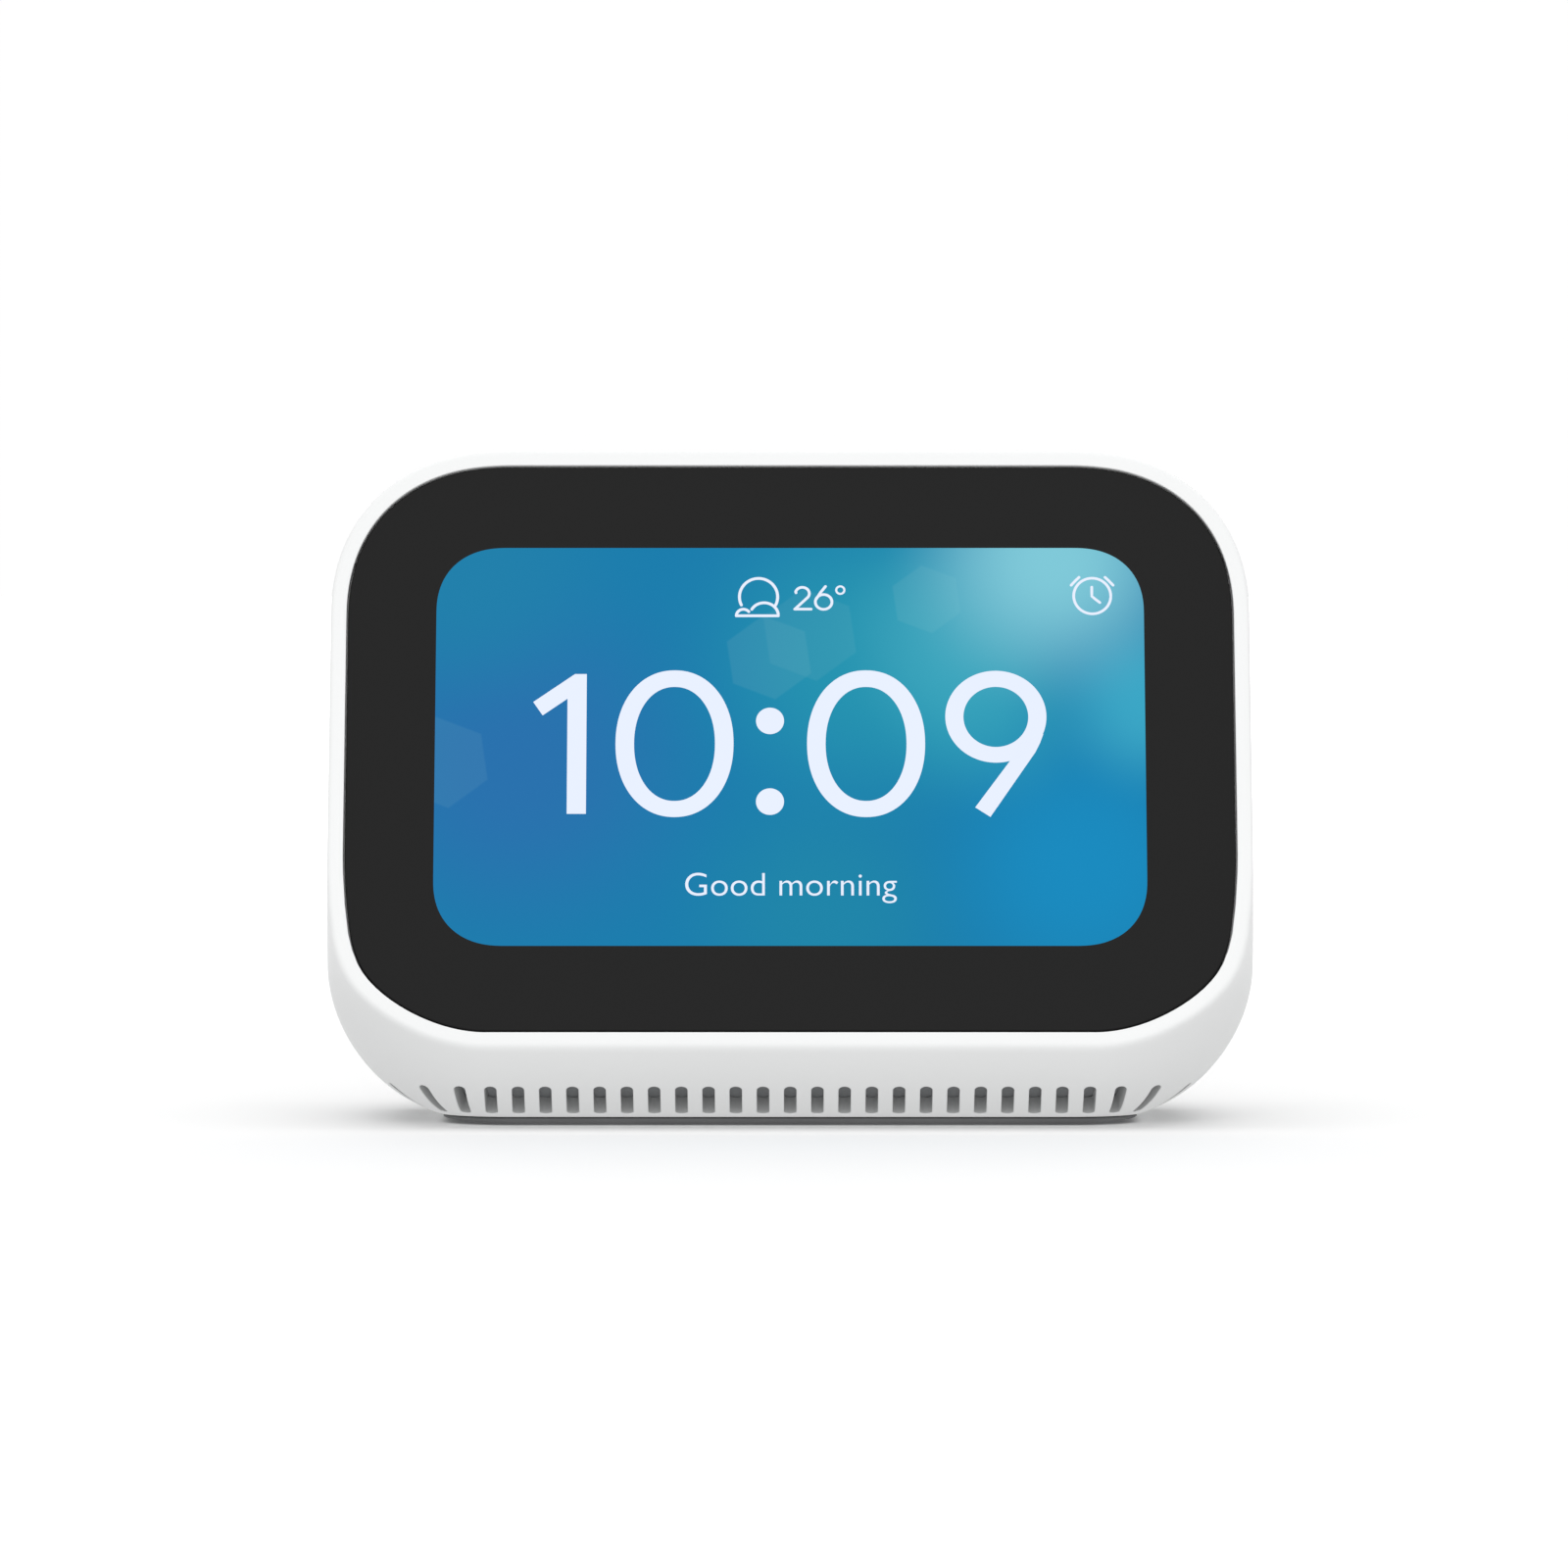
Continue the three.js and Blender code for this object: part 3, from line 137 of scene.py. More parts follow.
def skin(u, z):
    """Point of the shell at height z; u is the way round the base from the front middle."""
    u = np.asarray(u, float)
    z = np.asarray(z, float) + u * 0
    w = np.abs(u)
    half, front, back, fc, bc = section(z)
    straight = np.maximum(0.0, half - fc - front_end)
    narrowed = np.minimum(1.0, (half - fc) / front_end)
    share = np.clip((w - front_end) / quarter, 0, 1)
    around = straight + fc * math.pi / 2
    more = around - quarter
    way = quarter * share + np.maximum(0.0, more) * share ** 3 + np.minimum(0.0, more) * share
    turn = np.clip((way - straight) / fc, 0, math.pi / 2)
    corner_x = np.where(way < straight, front_end + way, half - fc + fc * np.sin(turn))
    corner_y = front + fc * (1 - np.cos(turn))
    side_share = (w - corner_end) / (side_end - corner_end)
    side_y = front + fc + (back - bc - front - fc) * side_share
    swing = np.clip((w - side_end) / quarter, 0, 1) * math.pi / 2
    rear_share = np.clip((w - back_start) / front_end, 0, 1)
    places = [w <= front_end, w <= corner_end, w <= side_end, w <= back_start]
    x = np.select(places, [w * narrowed, corner_x, half, half - bc * (1 - np.cos(swing))],
                  (half - bc) * (1 - rear_share))
    y = np.select(places, [front, corner_y, side_y, back - bc * (1 - np.sin(swing))], back)
    return np.stack([np.where(u < 0, -x, x), y, z], -1)


def beyond(p):
    """How far a point stands outside the shell's level outline at its own height."""
    x, y, z = np.abs(p[..., 0]), p[..., 1], p[..., 2]
    half, front, back, fc, bc = section(z)
    flat = np.maximum(np.maximum(x - half, front - y), y - back)
    near = np.hypot(x - half + fc, front + fc - y) - fc
    far = np.hypot(x - half + bc, y - back + bc) - bc
    at_near = (x > half - fc) & (y < front + fc)
    at_far = (x > half - bc) & (y > back - bc)
    return np.where(at_near, near, np.where(at_far, far, flat))


def outward(p):
    """Unit normal of the shell at a point on it; the crown of the top faces straight up."""
    p = np.array(p, float)
    step = 0.01
    on_top = p[..., 2] > height - step / 2
    p[..., 2] = np.minimum(p[..., 2], height - 2 * step)
    slope = np.stack([beyond(p + axis * step) - beyond(p - axis * step) for axis in np.eye(3)], -1)
    slope = np.where(on_top[..., None], np.array([0.0, 0.0, 1.0]), slope)
    return slope / np.linalg.norm(slope, axis=-1, keepdims=True)


# The grid of the skin. Columns follow the slots, so each slot sits in its own cell.
slot_pitch = 3.31
slot_width = 1.5
slot_low = math.radians(21.4)
slot_high = math.radians(42)
slots_per_side = 22
cell = 8
fine = slot_pitch / cell
half_columns = [fine * k for k in range(slots_per_side * cell + cell // 2 + 1)]
half_columns += list(np.linspace(half_columns[-1], back_start, 16)[1:])
half_columns += list(np.linspace(back_start, loop_end, int(round(front_end)) + 1)[1:])
columns = np.array(half_columns + [-u for u in reversed(half_columns[1:-1])])
column_count = len(columns)

slot_margin = math.radians(1.4)
slopes = list(np.linspace(bowl_start, slot_low - slot_margin, 3)[:-1])
first_slot_row = len(slopes)
slopes += list(np.linspace(slot_low - slot_margin, slot_high + slot_margin, 20))
last_slot_row = len(slopes) - 1
slopes += list(np.linspace(slot_high + slot_margin, math.pi / 2, 44)[1:])
rows = [bowl_centre - bowl_radius * math.cos(s) for s in slopes]
curl_start = height - side_curl[1]
rows += list(np.linspace(bowl_centre, curl_start, 44)[1:])
rows += [curl_start + side_curl[1] * math.sin(t) for t in np.linspace(0, math.pi / 2, 49)[1:]]
rows = np.array(rows)

points = [tuple(p) for z in rows for p in skin(columns, z)]
points_uz = [(u, z) for z in rows for u in columns]
removed = set()
faces = []
wall_faces = []


def quarter_turn(path):
    """The same path, turned a quarter to the left."""
    return np.stack([-path[:, 1], path[:, 0]], -1)


def join_rings(ring, new):
    """Closes the band between two rings of point numbers with faces."""
    count = len(ring)
    faces.extend((ring[k], ring[(k + 1) % count], new[(k + 1) % count], new[k])
                 for k in range(count))


def loop_length(path):
    closed = np.vstack([path, path[:1]])
    return np.concatenate([[0], np.cumsum(np.linalg.norm(np.diff(closed, axis=0), axis=1))])


def along_loop(path, shares):
    """Points at given shares of a closed outline's length."""
    length = loop_length(path)
    closed = np.vstack([path, path[:1]])
    return np.stack([np.interp(shares * length[-1], length, closed[:, k]) for k in range(2)], -1)


def rounded_slot(width, length, grow, steps=12):
    """Outline of a slot with round ends, from its lowest point, grown by a margin."""
    radius = width / 2 + grow
    reach = max(0.0, length / 2 - width / 2)
    turn = np.linspace(-math.pi / 2, 0, steps)
    right = [(radius * math.cos(t), -reach + radius * math.sin(t)) for t in turn]
    right += [(radius * math.cos(t), reach + radius * math.sin(t)) for t in turn + math.pi / 2]
    left = [(-x, y) for x, y in reversed(right[1:-1])]
    return np.array(right + left)


hole_shoulder = 0.4


def cut_hole(first_row, last_row, first_column, last_column, frame_of, outline, surface,
             edge, wall, tone=0):
    """Replaces a block of the grid by a hole with a rounded edge and a wall going in.

    frame_of turns a grid vertex into plane coordinates about the hole, surface does
    the reverse, and outline(grow) is the hole's shape in that plane. tone is the
    material slot of the wall."""
    span = last_column - first_column
    for r in range(first_row, last_row):
        for c in range(first_column, last_column):
            removed.add((r, c % column_count))
    corners = [(first_row, first_column + k) for k in range(span // 2, span)]
    corners += [(r, last_column) for r in range(first_row, last_row)]
    corners += [(last_row, last_column - k) for k in range(span)]
    corners += [(r, first_column) for r in range(last_row, first_row, -1)]
    corners += [(first_row, first_column + k) for k in range(span // 2)]
    ring = [r * column_count + c % column_count for r, c in corners]
    outside = np.array([frame_of(*points_uz[i]) for i in ring])
    length = loop_length(outside)
    shares = length[:-1] / length[-1]
    target = along_loop(outline(edge), shares)
    loops = [outside + (target - outside) * share for share in (0.35, 0.7, 1.0)]
    placed = [surface(loop) for loop in loops]
    for turn in np.linspace(0, math.pi / 2, 6)[1:]:
        loop = along_loop(outline(edge * (1 - math.sin(turn))), shares)
        place = surface(loop)
        placed.append(place - outward(place) * edge * (1 - math.cos(turn)))
    place = surface(along_loop(outline(0.0), shares))
    placed += [place - outward(place) * d for d in (edge + hole_shoulder, wall)]
    for step, spots in enumerate(placed):
        start = len(points)
        points.extend(tuple(p) for p in spots)
        new = list(range(start, start + len(ring)))
        join_rings(ring, new)
        wall_faces.extend([tone if step >= len(placed) - 2 else 0] * len(ring))
        ring = new


slot_middle = (slot_low + slot_high) / 2
slot_length = (slot_high - slot_low) * bowl_radius
slot_edge = 0.14
slot_wall_depth = 2.2
probe = 0.2
for number in range(-slots_per_side, slots_per_side + 1):
    centre_u = number * slot_pitch

    def slot_scale(slope, centre_u=centre_u):
        z = bowl_centre - bowl_radius * np.cos(slope)
        gap = skin(centre_u + probe, z) - skin(centre_u - probe, z)
        return np.linalg.norm(gap, axis=-1) / (2 * probe)

    def to_slot(u, z, centre_u=centre_u):
        slope = math.acos((bowl_centre - z) / bowl_radius)
        offset = (u - centre_u + loop_end) % (2 * loop_end) - loop_end
        return offset * float(slot_scale(np.array(slope))), (slope - slot_middle) * bowl_radius

    def from_slot(plane, centre_u=centre_u):
        slope = slot_middle + plane[:, 1] / bowl_radius
        u = centre_u + plane[:, 0] / slot_scale(slope)
        return skin(u, bowl_centre - bowl_radius * np.cos(slope))

    column = number * cell
    # Wall material slot 1: the grey ABS whose darker tone is painted shade inside the slot.
    cut_hole(first_slot_row, last_slot_row, column - cell // 2, column + cell // 2, to_slot,
             lambda grow: rounded_slot(slot_width, slot_length, grow), from_slot,
             slot_edge, slot_wall_depth, 1)

# Openings in the back cover: a round one for the power plug, a slot for the knob.
jack_x, jack_z, jack_opening = -20.0, 33.0, 4.2
knob_x, knob_z, knob_travel = 0.0, 56.0, 2.0
knob_slot = (7.1, 3.2)
jack_edge, knob_slot_edge, back_wall = 0.5, 0.35, 1.9


def back_point(plane, x, z):
    level = plane[:, 1] + z
    return np.stack([plane[:, 0] + x, section(level)[2], level], -1)


def back_hole(x, z, reach, outline, edge):
    row_of = [int(np.argmin(np.abs(rows - level))) for level in (z - reach, z + reach)]
    middle = len(half_columns) - 1
    shift = int(round(x))
    span = int(reach)

    def to_plane(u, level):
        place = skin(u, level)
        return float(place[0]) - x, level - z

    cut_hole(row_of[0], row_of[1], middle - shift - span, middle - shift + span, to_plane,
             lambda grow: outline(grow) * np.array([-1.0, 1.0]),
             lambda plane: back_point(plane, x, z), edge, back_wall)


back_hole(jack_x, jack_z, 7,
          lambda grow: rounded_slot(2 * jack_opening, 2 * jack_opening, grow, 16), jack_edge)
knob_middle = knob_x + knob_travel / 2


def knob_outline(grow):
    return quarter_turn(rounded_slot(knob_slot[1], knob_slot[0], grow))


def turned_outline(outline):
    """The same closed outline, started again at its lowest point."""
    start = int(np.argmin(outline[:, 1] + np.abs(outline[:, 0]) * 0.001))
    return np.roll(outline, -start, axis=0)


back_hole(knob_middle, knob_z, 6, lambda grow: turned_outline(knob_outline(grow)),
          knob_slot_edge)

for r in range(len(rows) - 1):
    for c in range(column_count):
        if (r, c) not in removed:
            here = r * column_count
            above = here + column_count
            n = (c + 1) % column_count
            faces.append((here + c, here + n, above + n, above + c))

# Narrow flat underside, inwards from the base outline, beneath which the foot sits.
underside_width = 5.0
nudge = 0.05
start = len(points)
for u in columns:
    place = skin(u, shell_floor)
    tangent = skin(u + nudge, shell_floor) - skin(u - nudge, shell_floor)
    inward = np.array([-tangent[1], tangent[0], 0.0])
    points.append(tuple(place + inward / np.linalg.norm(inward) * underside_width))
faces += [(c, start + c, start + (c + 1) % column_count, (c + 1) % column_count)
          for c in range(column_count)]

# Crown of the top: flat, with openings for two keys and two microphone holes.
key_y = 39.0
key_offset = 8.0
key_size = (12.0, 5.0)
key_gap = 0.25
mic_offset = 27.0
mic_hole = 0.6
key_hole_edge, mic_hole_edge, crown_wall = 0.3, 0.15, 2.0
crown_loops = [[(len(rows) - 1) * column_count + c for c in range(column_count)]]


def crown_hole(x, y, outline, edge, wall):
    ring = None
    for turn in list(np.linspace(0, math.pi / 2, 6)) + [None]:
        grow = 0.0 if turn is None else edge * (1 - math.sin(turn))
        drop = wall if turn is None else edge * (1 - math.cos(turn))
        spots = outline(grow)
        start = len(points)
        points.extend((x + a, y + b, height - drop) for a, b in spots)
        new = list(range(start, start + len(spots)))
        if ring is None:
            crown_loops.append(new)
        else:
            join_rings(ring, new)
        ring = new


def key_outline(grow):
    length, width = (size + 2 * key_gap for size in key_size)
    return quarter_turn(rounded_slot(width, length, grow, 10))


for side in (-1, 1):
    crown_hole(side * key_offset, key_y, key_outline, key_hole_edge, crown_wall)
    crown_hole(side * mic_offset, key_y,
               lambda grow: rounded_slot(2 * mic_hole, 2 * mic_hole, grow, 8),
               mic_hole_edge, crown_wall)

crown_points = [k for loop in crown_loops for k in loop]
crown_edges = []
for loop in crown_loops:
    first = len(crown_edges)
    crown_edges += [(first + k, first + (k + 1) % len(loop)) for k in range(len(loop))]
filled = delaunay_2d_cdt([Vector(points[k][:2]) for k in crown_points], crown_edges, [], 1, 1e-5)
for flat in filled[2]:
    triangle = {crown_points[filled[3][k][0]] for k in flat}
    if not any(triangle <= set(hole) for hole in crown_loops[1:]):
        faces.append(tuple(crown_points[filled[3][k][0]] for k in flat))

shell_mesh = bpy.data.meshes.new("shell_start")
shell_mesh.from_pydata(points, [], faces)
wall_faces += [0] * (len(faces) - len(wall_faces))
shell_mesh.polygons.foreach_set("material_index", wall_faces)
shell = bmesh.new()
shell.from_mesh(shell_mesh)

# The sloped cut and its rounded edge.
face_out = np.array([0.0, -math.cos(face_tilt), math.sin(face_tilt)])
face_up = np.array([0.0, math.sin(face_tilt), math.cos(face_tilt)])
face_corner = np.array([0.0, 0.0, rim_bottom])
rim_round = 0.62
rim_band = 2.15
seat_gap = 0.2
seat_edge = 0.15
seat_depth = 1.7
seat_shelf = 3.0


def cut(body, spot, direction):
    everything = body.verts[:] + body.edges[:] + body.faces[:]
    bmesh.ops.bisect_plane(body, geom=everything, dist=1e-5, plane_co=spot,
                           plane_no=direction, clear_outer=True)


def open_loop(body, spot, direction):
    """The vertices, in order, of the open edge that lies in a plane."""
    spot, direction = Vector(spot), Vector(direction)
    edges = [e for e in body.edges if e.is_boundary
             and all(abs((v.co - spot).dot(direction)) < 2e-4 for v in e.verts)]
    beside = {}
    for e in edges:
        for a, b in (e.verts, reversed(e.verts)):
            beside.setdefault(a, []).append(b)
    best = []
    left = set(beside)
    for begin in beside:
        if begin not in left:
            continue
        here = begin
        left.discard(here)
        path = [here]
        while True:
            onward = [v for v in beside[here] if v in left]
            if not onward:
                break
            here = onward[0]
            left.discard(here)
            path.append(here)
        if len(path) > len(best):
            best = path
    return best


def add_bands(body, ring, loops):
    for loop in loops:
        new = [body.verts.new(p) for p in loop]
        count = len(ring)
        for k in range(count):
            body.faces.new((ring[k], ring[(k + 1) % count], new[(k + 1) % count], new[k]))
        ring = new
    return ring


def bend(start, corner, end, steps=5):
    """Loops that turn smoothly from one surface to the next round a shared corner."""
    shares = np.linspace(0, 1, steps + 1)[1:]
    return [start * (1 - t) ** 2 + corner * 2 * t * (1 - t) + end * t ** 2 for t in shares]


cut_spot = face_corner - face_out * rim_round
cut(shell, cut_spot, face_out)
rim_ring = open_loop(shell, cut_spot, face_out)
rim_start = np.array([v.co for v in rim_ring])
normal = outward(rim_start)
lying = normal - (normal @ face_out)[:, None] * face_out
lying /= np.linalg.norm(lying, axis=1, keepdims=True)
climb = face_out - (normal @ face_out)[:, None] * normal
climb /= np.linalg.norm(climb, axis=1, keepdims=True)
rim_corner = rim_start + climb * (rim_round / (climb @ face_out))[:, None]
rim_flat = rim_corner - lying * rim_round
seat = rim_corner - lying * (rim_band - seat_gap)
bands = bend(rim_start, rim_corner, rim_flat, 6)
bands.append(rim_flat - lying * 0.25)
bands.append(seat + lying * (seat_edge + 0.2))
bands.append(seat + lying * seat_edge)
bands += bend(bands[-1], seat, seat - face_out * seat_edge, 4)
bands.append(seat - face_out * seat_depth)
bands.append(seat - face_out * seat_depth - lying * seat_shelf)
add_bands(shell, rim_ring, bands)

# Parting line between the front moulding and the back cover, a groove 0.3 mm wide.
part_gap = 0.15
part_round = 0.2
part_depth = 1.8
halves = {}
for name, way in (("front", -1.0), ("rear", 1.0)):
    half_shell = shell.copy()
    direction = (0.0, -way, 0.0)
    spot = (0.0, split_y + way * (part_gap + part_round), 0.0)
    cut(half_shell, spot, direction)
    ring = open_loop(half_shell, spot, direction)
    begin = np.array([v.co for v in ring])
    normal = outward(begin)
    normal[begin[:, 2] < shell_floor + 1e-3] = (0, 0, -1)
    towards = np.array(direction) - (normal @ np.array(direction))[:, None] * normal
    towards /= np.linalg.norm(towards, axis=1, keepdims=True)
    corner = begin + towards * part_round
    bands = bend(begin, corner, corner - normal * part_round, 4)
    bands.append(corner - normal * part_depth)
    add_bands(half_shell, ring, bands)
    halves[name] = half_shell


def finish_mesh(name, body, sharp=35.0, scale=MM, shift=depth / 2):
    """Turns millimetres measured from the front edge into an object in the shared frame."""
    bmesh.ops.recalc_face_normals(body, faces=body.faces)
    for v in body.verts:
        v.co = Vector((v.co.x, v.co.y - shift, v.co.z)) * scale
    mesh = bpy.data.meshes.new(name)
    body.to_mesh(mesh)
    body.free()
    mesh.shade_smooth()
    mesh.set_sharp_from_angle(angle=math.radians(sharp))
    made = bpy.data.objects.new(name, mesh)
    bpy.context.scene.collection.objects.link(made)
    return made


def linear(code):
    """A colour given as sRGB hex, in linear light."""
    parts = [int(code[k:k + 2], 16) / 255 for k in (1, 3, 5)]
    return [p / 12.92 if p <= 0.04045 else ((p + 0.055) / 1.055) ** 2.4 for p in parts] + [1.0]


def add_node(tree, kind, settings=None, **links):
    """Adds a shader node. Settings are its own; each link is a number, a colour or a socket."""
    node = tree.nodes.new(kind)
    for key, value in (settings or {}).items():
        setattr(node, key, value)
    for key, value in links.items():
        label = key.replace("_", " ").strip()
        name = int(key[1:]) if key[0] == "n" and key[1:].isdigit() else label
        socket = node.inputs[name]
        if isinstance(value, bpy.types.NodeSocket):
            tree.links.new(value, socket)
        else:
            socket.default_value = value
    return node


def new_material(name):
    """An empty node material and its tree, with the surface shader and output joined."""
    made = bpy.data.materials.new(name)
    made.use_nodes = True
    tree = made.node_tree
    tree.nodes.clear()
    surface = tree.nodes.new("ShaderNodeBsdfPrincipled")
    output = tree.nodes.new("ShaderNodeOutputMaterial")
    tree.links.new(surface.outputs["BSDF"], output.inputs["Surface"])
    return made, tree, surface


def noise(tree, grain_mm, detail=2.0, stretch=None, **more):
    """Noise with a grain of a real size in millimetres, fixed to the object."""
    place = add_node(tree, "ShaderNodeTexCoord").outputs["Object"]
    if stretch:
        drawn = add_node(tree, "ShaderNodeMapping", None, Vector=place, Scale=stretch)
        place = drawn.outputs["Vector"]
    return add_node(tree, "ShaderNodeTexNoise", None, Vector=place, Scale=1000 / grain_mm,
                    Detail=detail, **more).outputs["Fac"]


def two_tones(tree, shader, drive, low, high, socket="Base Color"):
    """Two close tones, mixed by a noise, on one socket of the surface."""
    tone = add_node(tree, "ShaderNodeMixRGB", None, Fac=drive, Color1=linear(low),
                    Color2=linear(high))
    tree.links.new(tone.outputs["Color"], shader.inputs[socket])


def varied_gloss(tree, shader, drive, low, high):
    gloss = add_node(tree, "ShaderNodeMapRange", None, Value=drive, To_Min=low, To_Max=high)
    tree.links.new(gloss.outputs["Result"], shader.inputs["Roughness"])


def relief(tree, shader, drive, strength, height_mm):
    bump = add_node(tree, "ShaderNodeBump", None, Height=drive, Strength=strength,
                    Distance=height_mm * MM)
    tree.links.new(bump.outputs["Normal"], shader.inputs["Normal"])


def set_even(shader, **values):
    """Sets what is the same all over the surface, on the shader's own sockets."""
    for key, value in values.items():
        shader.inputs[key.replace("_", " ")].default_value = value


# Spark-eroded ABS: the fine grain of the tool, about 0.15 mm, softens every highlight,
# and a faint drift of tone over centimetres keeps the white from looking painted.
white_abs, tree, shader = new_material("moulded_white_abs")
grain = noise(tree, 0.15, Roughness=0.55)
two_tones(tree, shader, noise(tree, 35, 1.0), "#E5E6E6", "#E9EAEA")
varied_gloss(tree, shader, grain, 0.44, 0.56)
relief(tree, shader, grain, 0.10, 0.02)
set_even(shader, IOR=1.53)

# Slot walls: the same ABS with a coarser grain. Its grey is a chosen tone, a painted shade
# that stands in for the shade inside the narrow openings; nothing is known of the real walls'
# finish.
slot_wall_painted_shade_abs, tree, shader = new_material("painted_shade_rough_slot_wall_abs")
grain = noise(tree, 0.3, 3.0)
two_tones(tree, shader, grain, "#B2B3B3", "#BDBEBE")
relief(tree, shader, grain, 0.2, 0.03)
set_even(shader, Roughness=0.7, IOR=1.53)

front_shell = finish_mesh("front_shell", halves["front"])
rear_shell = finish_mesh("rear_shell", halves["rear"])
shell.free()
for piece, node in ((front_shell, "main_housing"), (rear_shell, "rear_cover")):
    piece.data.materials.append(white_abs)
    # Slot 1: the grey of the slot walls, a painted shade.
    piece.data.materials.append(slot_wall_painted_shade_abs)
    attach(piece, "housing")
    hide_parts(node)
frame["nodes"]["base_plate"].data.materials.clear()
frame["nodes"]["base_plate"].data.materials.append(white_abs)


# ---------------------------------------------------------------------------
# Rubber foot: a flat silicone pad, glued over the base plate and its screws. It
# stands in a little from the housing's edge, so it reads as a dark line under it.
foot_inset = 0.4
foot_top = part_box("rubber_foot")[1][2] / MM
foot_round = 0.2
foot = bmesh.new()
foot_columns = np.linspace(-loop_end, loop_end, 241)[:-1]


def foot_ring(inset, z):
    place = skin(foot_columns, shell_floor)
    ahead, behind = skin(foot_columns + nudge, shell_floor), skin(foot_columns - nudge, shell_floor)
    tangent = ahead - behind
    inward = np.stack([-tangent[:, 1], tangent[:, 0], tangent[:, 2] * 0], -1)
    place = place + inward / np.linalg.norm(inward, axis=1, keepdims=True) * inset
    place[:, 2] = z
    return place


foot_taper = 5.0
foot_edge = foot_top - foot_round * 0.5
foot_loops = [foot_ring(foot_inset + foot_taper * (1 - math.cos(t)), foot_edge * (1 - math.sin(t)))
              for t in np.linspace(math.pi / 2 - 0.35, 0, 14)]
foot_loops += [foot_ring(foot_inset + foot_round * (1 - math.cos(t)),
                         foot_top - foot_round * 0.5 * (1 - math.sin(t)))
               for t in np.linspace(0, math.pi / 2, 5)]
foot_loops[0][:, 2] = 0.0
foot_start = [foot.verts.new(p) for p in foot_ring(foot_inset + foot_taper + 0.4, 0.0)]
foot.faces.new(foot_start)
foot_end = add_bands(foot, foot_start, foot_loops)
foot.faces.new(foot_end)
foot_pad = finish_mesh("foot_pad", foot, 60.0)

# Compression-moulded silicone rubber: matt, slightly dusty, with a fine pebbled skin.
silicone, tree, shader = new_material("moulded_grey_silicone")
two_tones(tree, shader, noise(tree, 8, 4.0), "#5A5B5C", "#6C6D6E")
relief(tree, shader, noise(tree, 0.3, 3.0), 0.3, 0.04)
set_even(shader, Roughness=0.8, IOR=1.41)
foot_pad.data.materials.append(silicone)
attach(foot_pad, "housing")
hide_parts("rubber_foot")


# ---------------------------------------------------------------------------
# Cover glass: 1.1 mm float glass, ground to the rim's outline with a fine bevel. Its
# back is printed matt black all round; the clear window in the middle is bonded to
# the lit panel, whose picture lies directly under it.
glass_front = 0.2
glass_back = 1.3
glass_bevel = 0.22
screen_size = (87.0, 52.2)
screen_corner, screen_corner_power = 8.6, 2.3
chin = 10.95
screen_middle = rim_band + chin + screen_size[1] / 2


def face_point(x, up, behind):
    """A point given across the face, up the slope from the rim's lower edge, and behind it."""
    x, up = np.asarray(x, float), np.asarray(up, float)
    return (face_corner + up[..., None] * face_up - behind * face_out
            + x[..., None] * np.array([1.0, 0.0, 0.0]))


rim_share = (1 - np.cos(np.linspace(0, math.pi, 400))) / 2
rim_level = rim_bottom + rim_share * (height - rim_bottom)
rim_half, rim_front, _, rim_fc, _ = section(rim_level)
rim_short = np.maximum(0, rim_front + rim_fc - (rim_level - rim_bottom) * math.tan(face_tilt))
rim_x = rim_half - rim_fc + np.sqrt(np.maximum(0, rim_fc ** 2 - rim_short ** 2))
rim_up = (rim_level - rim_bottom) / math.cos(face_tilt)
rim_outline = np.concatenate([np.stack([rim_x, rim_up], -1), np.stack([-rim_x, rim_up], -1)[::-1]])
outline_points = 480


def inset_outline(margin):
    """The rim's outline moved inwards, started at the middle of the bottom edge."""
    low = np.array([[0.0, 0.0]])
    even = along_loop(np.vstack([low, rim_outline]), np.arange(outline_points) / outline_points)
    tangent = np.roll(even, -1, axis=0) - np.roll(even, 1, axis=0)
    tangent /= np.linalg.norm(tangent, axis=1, keepdims=True)
    return even + np.stack([-tangent[:, 1], tangent[:, 0]], -1) * margin


def window_outline(width, length, corner, power):
    """Rounded screen outline, started at the middle of the bottom edge."""
    turn = np.linspace(0, math.pi / 2, 30)
    cx = np.sin(turn) ** (2 / power)
    cy = np.cos(turn) ** (2 / power)
    low = np.stack([width / 2 - corner + corner * cx, -length / 2 + corner - corner * cy], -1)
    high = (low * np.array([1.0, -1.0]))[::-1]
    right = np.vstack([[0.0, -length / 2], low, high, [0.0, length / 2]])
    left = (right[1:-1] * np.array([-1.0, 1.0]))[::-1]
    return along_loop(np.vstack([right, left]), np.arange(outline_points) / outline_points)


def flat_loop(outline, behind, middle=0.0):
    return face_point(outline[:, 0], outline[:, 1] + middle, behind)


window = window_outline(*screen_size, screen_corner, screen_corner_power)
glass = bmesh.new()
glass_uv = glass.loops.layers.uv.new("screen")
window_verts = [glass.verts.new(p) for p in flat_loop(window, glass_front, screen_middle)]
picture_face = glass.faces.new(window_verts)
picture_face.material_index = 1
for corner_loop, spot in zip(picture_face.loops, window):
    corner_loop[glass_uv].uv = (spot[0] / 100, spot[1] / 100)
spread = inset_outline(rim_band + glass_bevel) - np.array([0, screen_middle]) - window
border = [flat_loop(window + spread * t, glass_front, screen_middle) for t in (0.02, 0.5, 1.0)]
border += [flat_loop(inset_outline(rim_band + glass_bevel * (1 - math.sin(t))),
                     glass_front + glass_bevel * (1 - math.cos(t)))
           for t in np.linspace(0, math.pi / 2, 5)[1:]]
border.append(flat_loop(inset_outline(rim_band), glass_back))
glass_end = add_bands(glass, window_verts, border)
glass.faces.new(glass_end)
cover = finish_mesh("cover_plate", glass, 25.0)

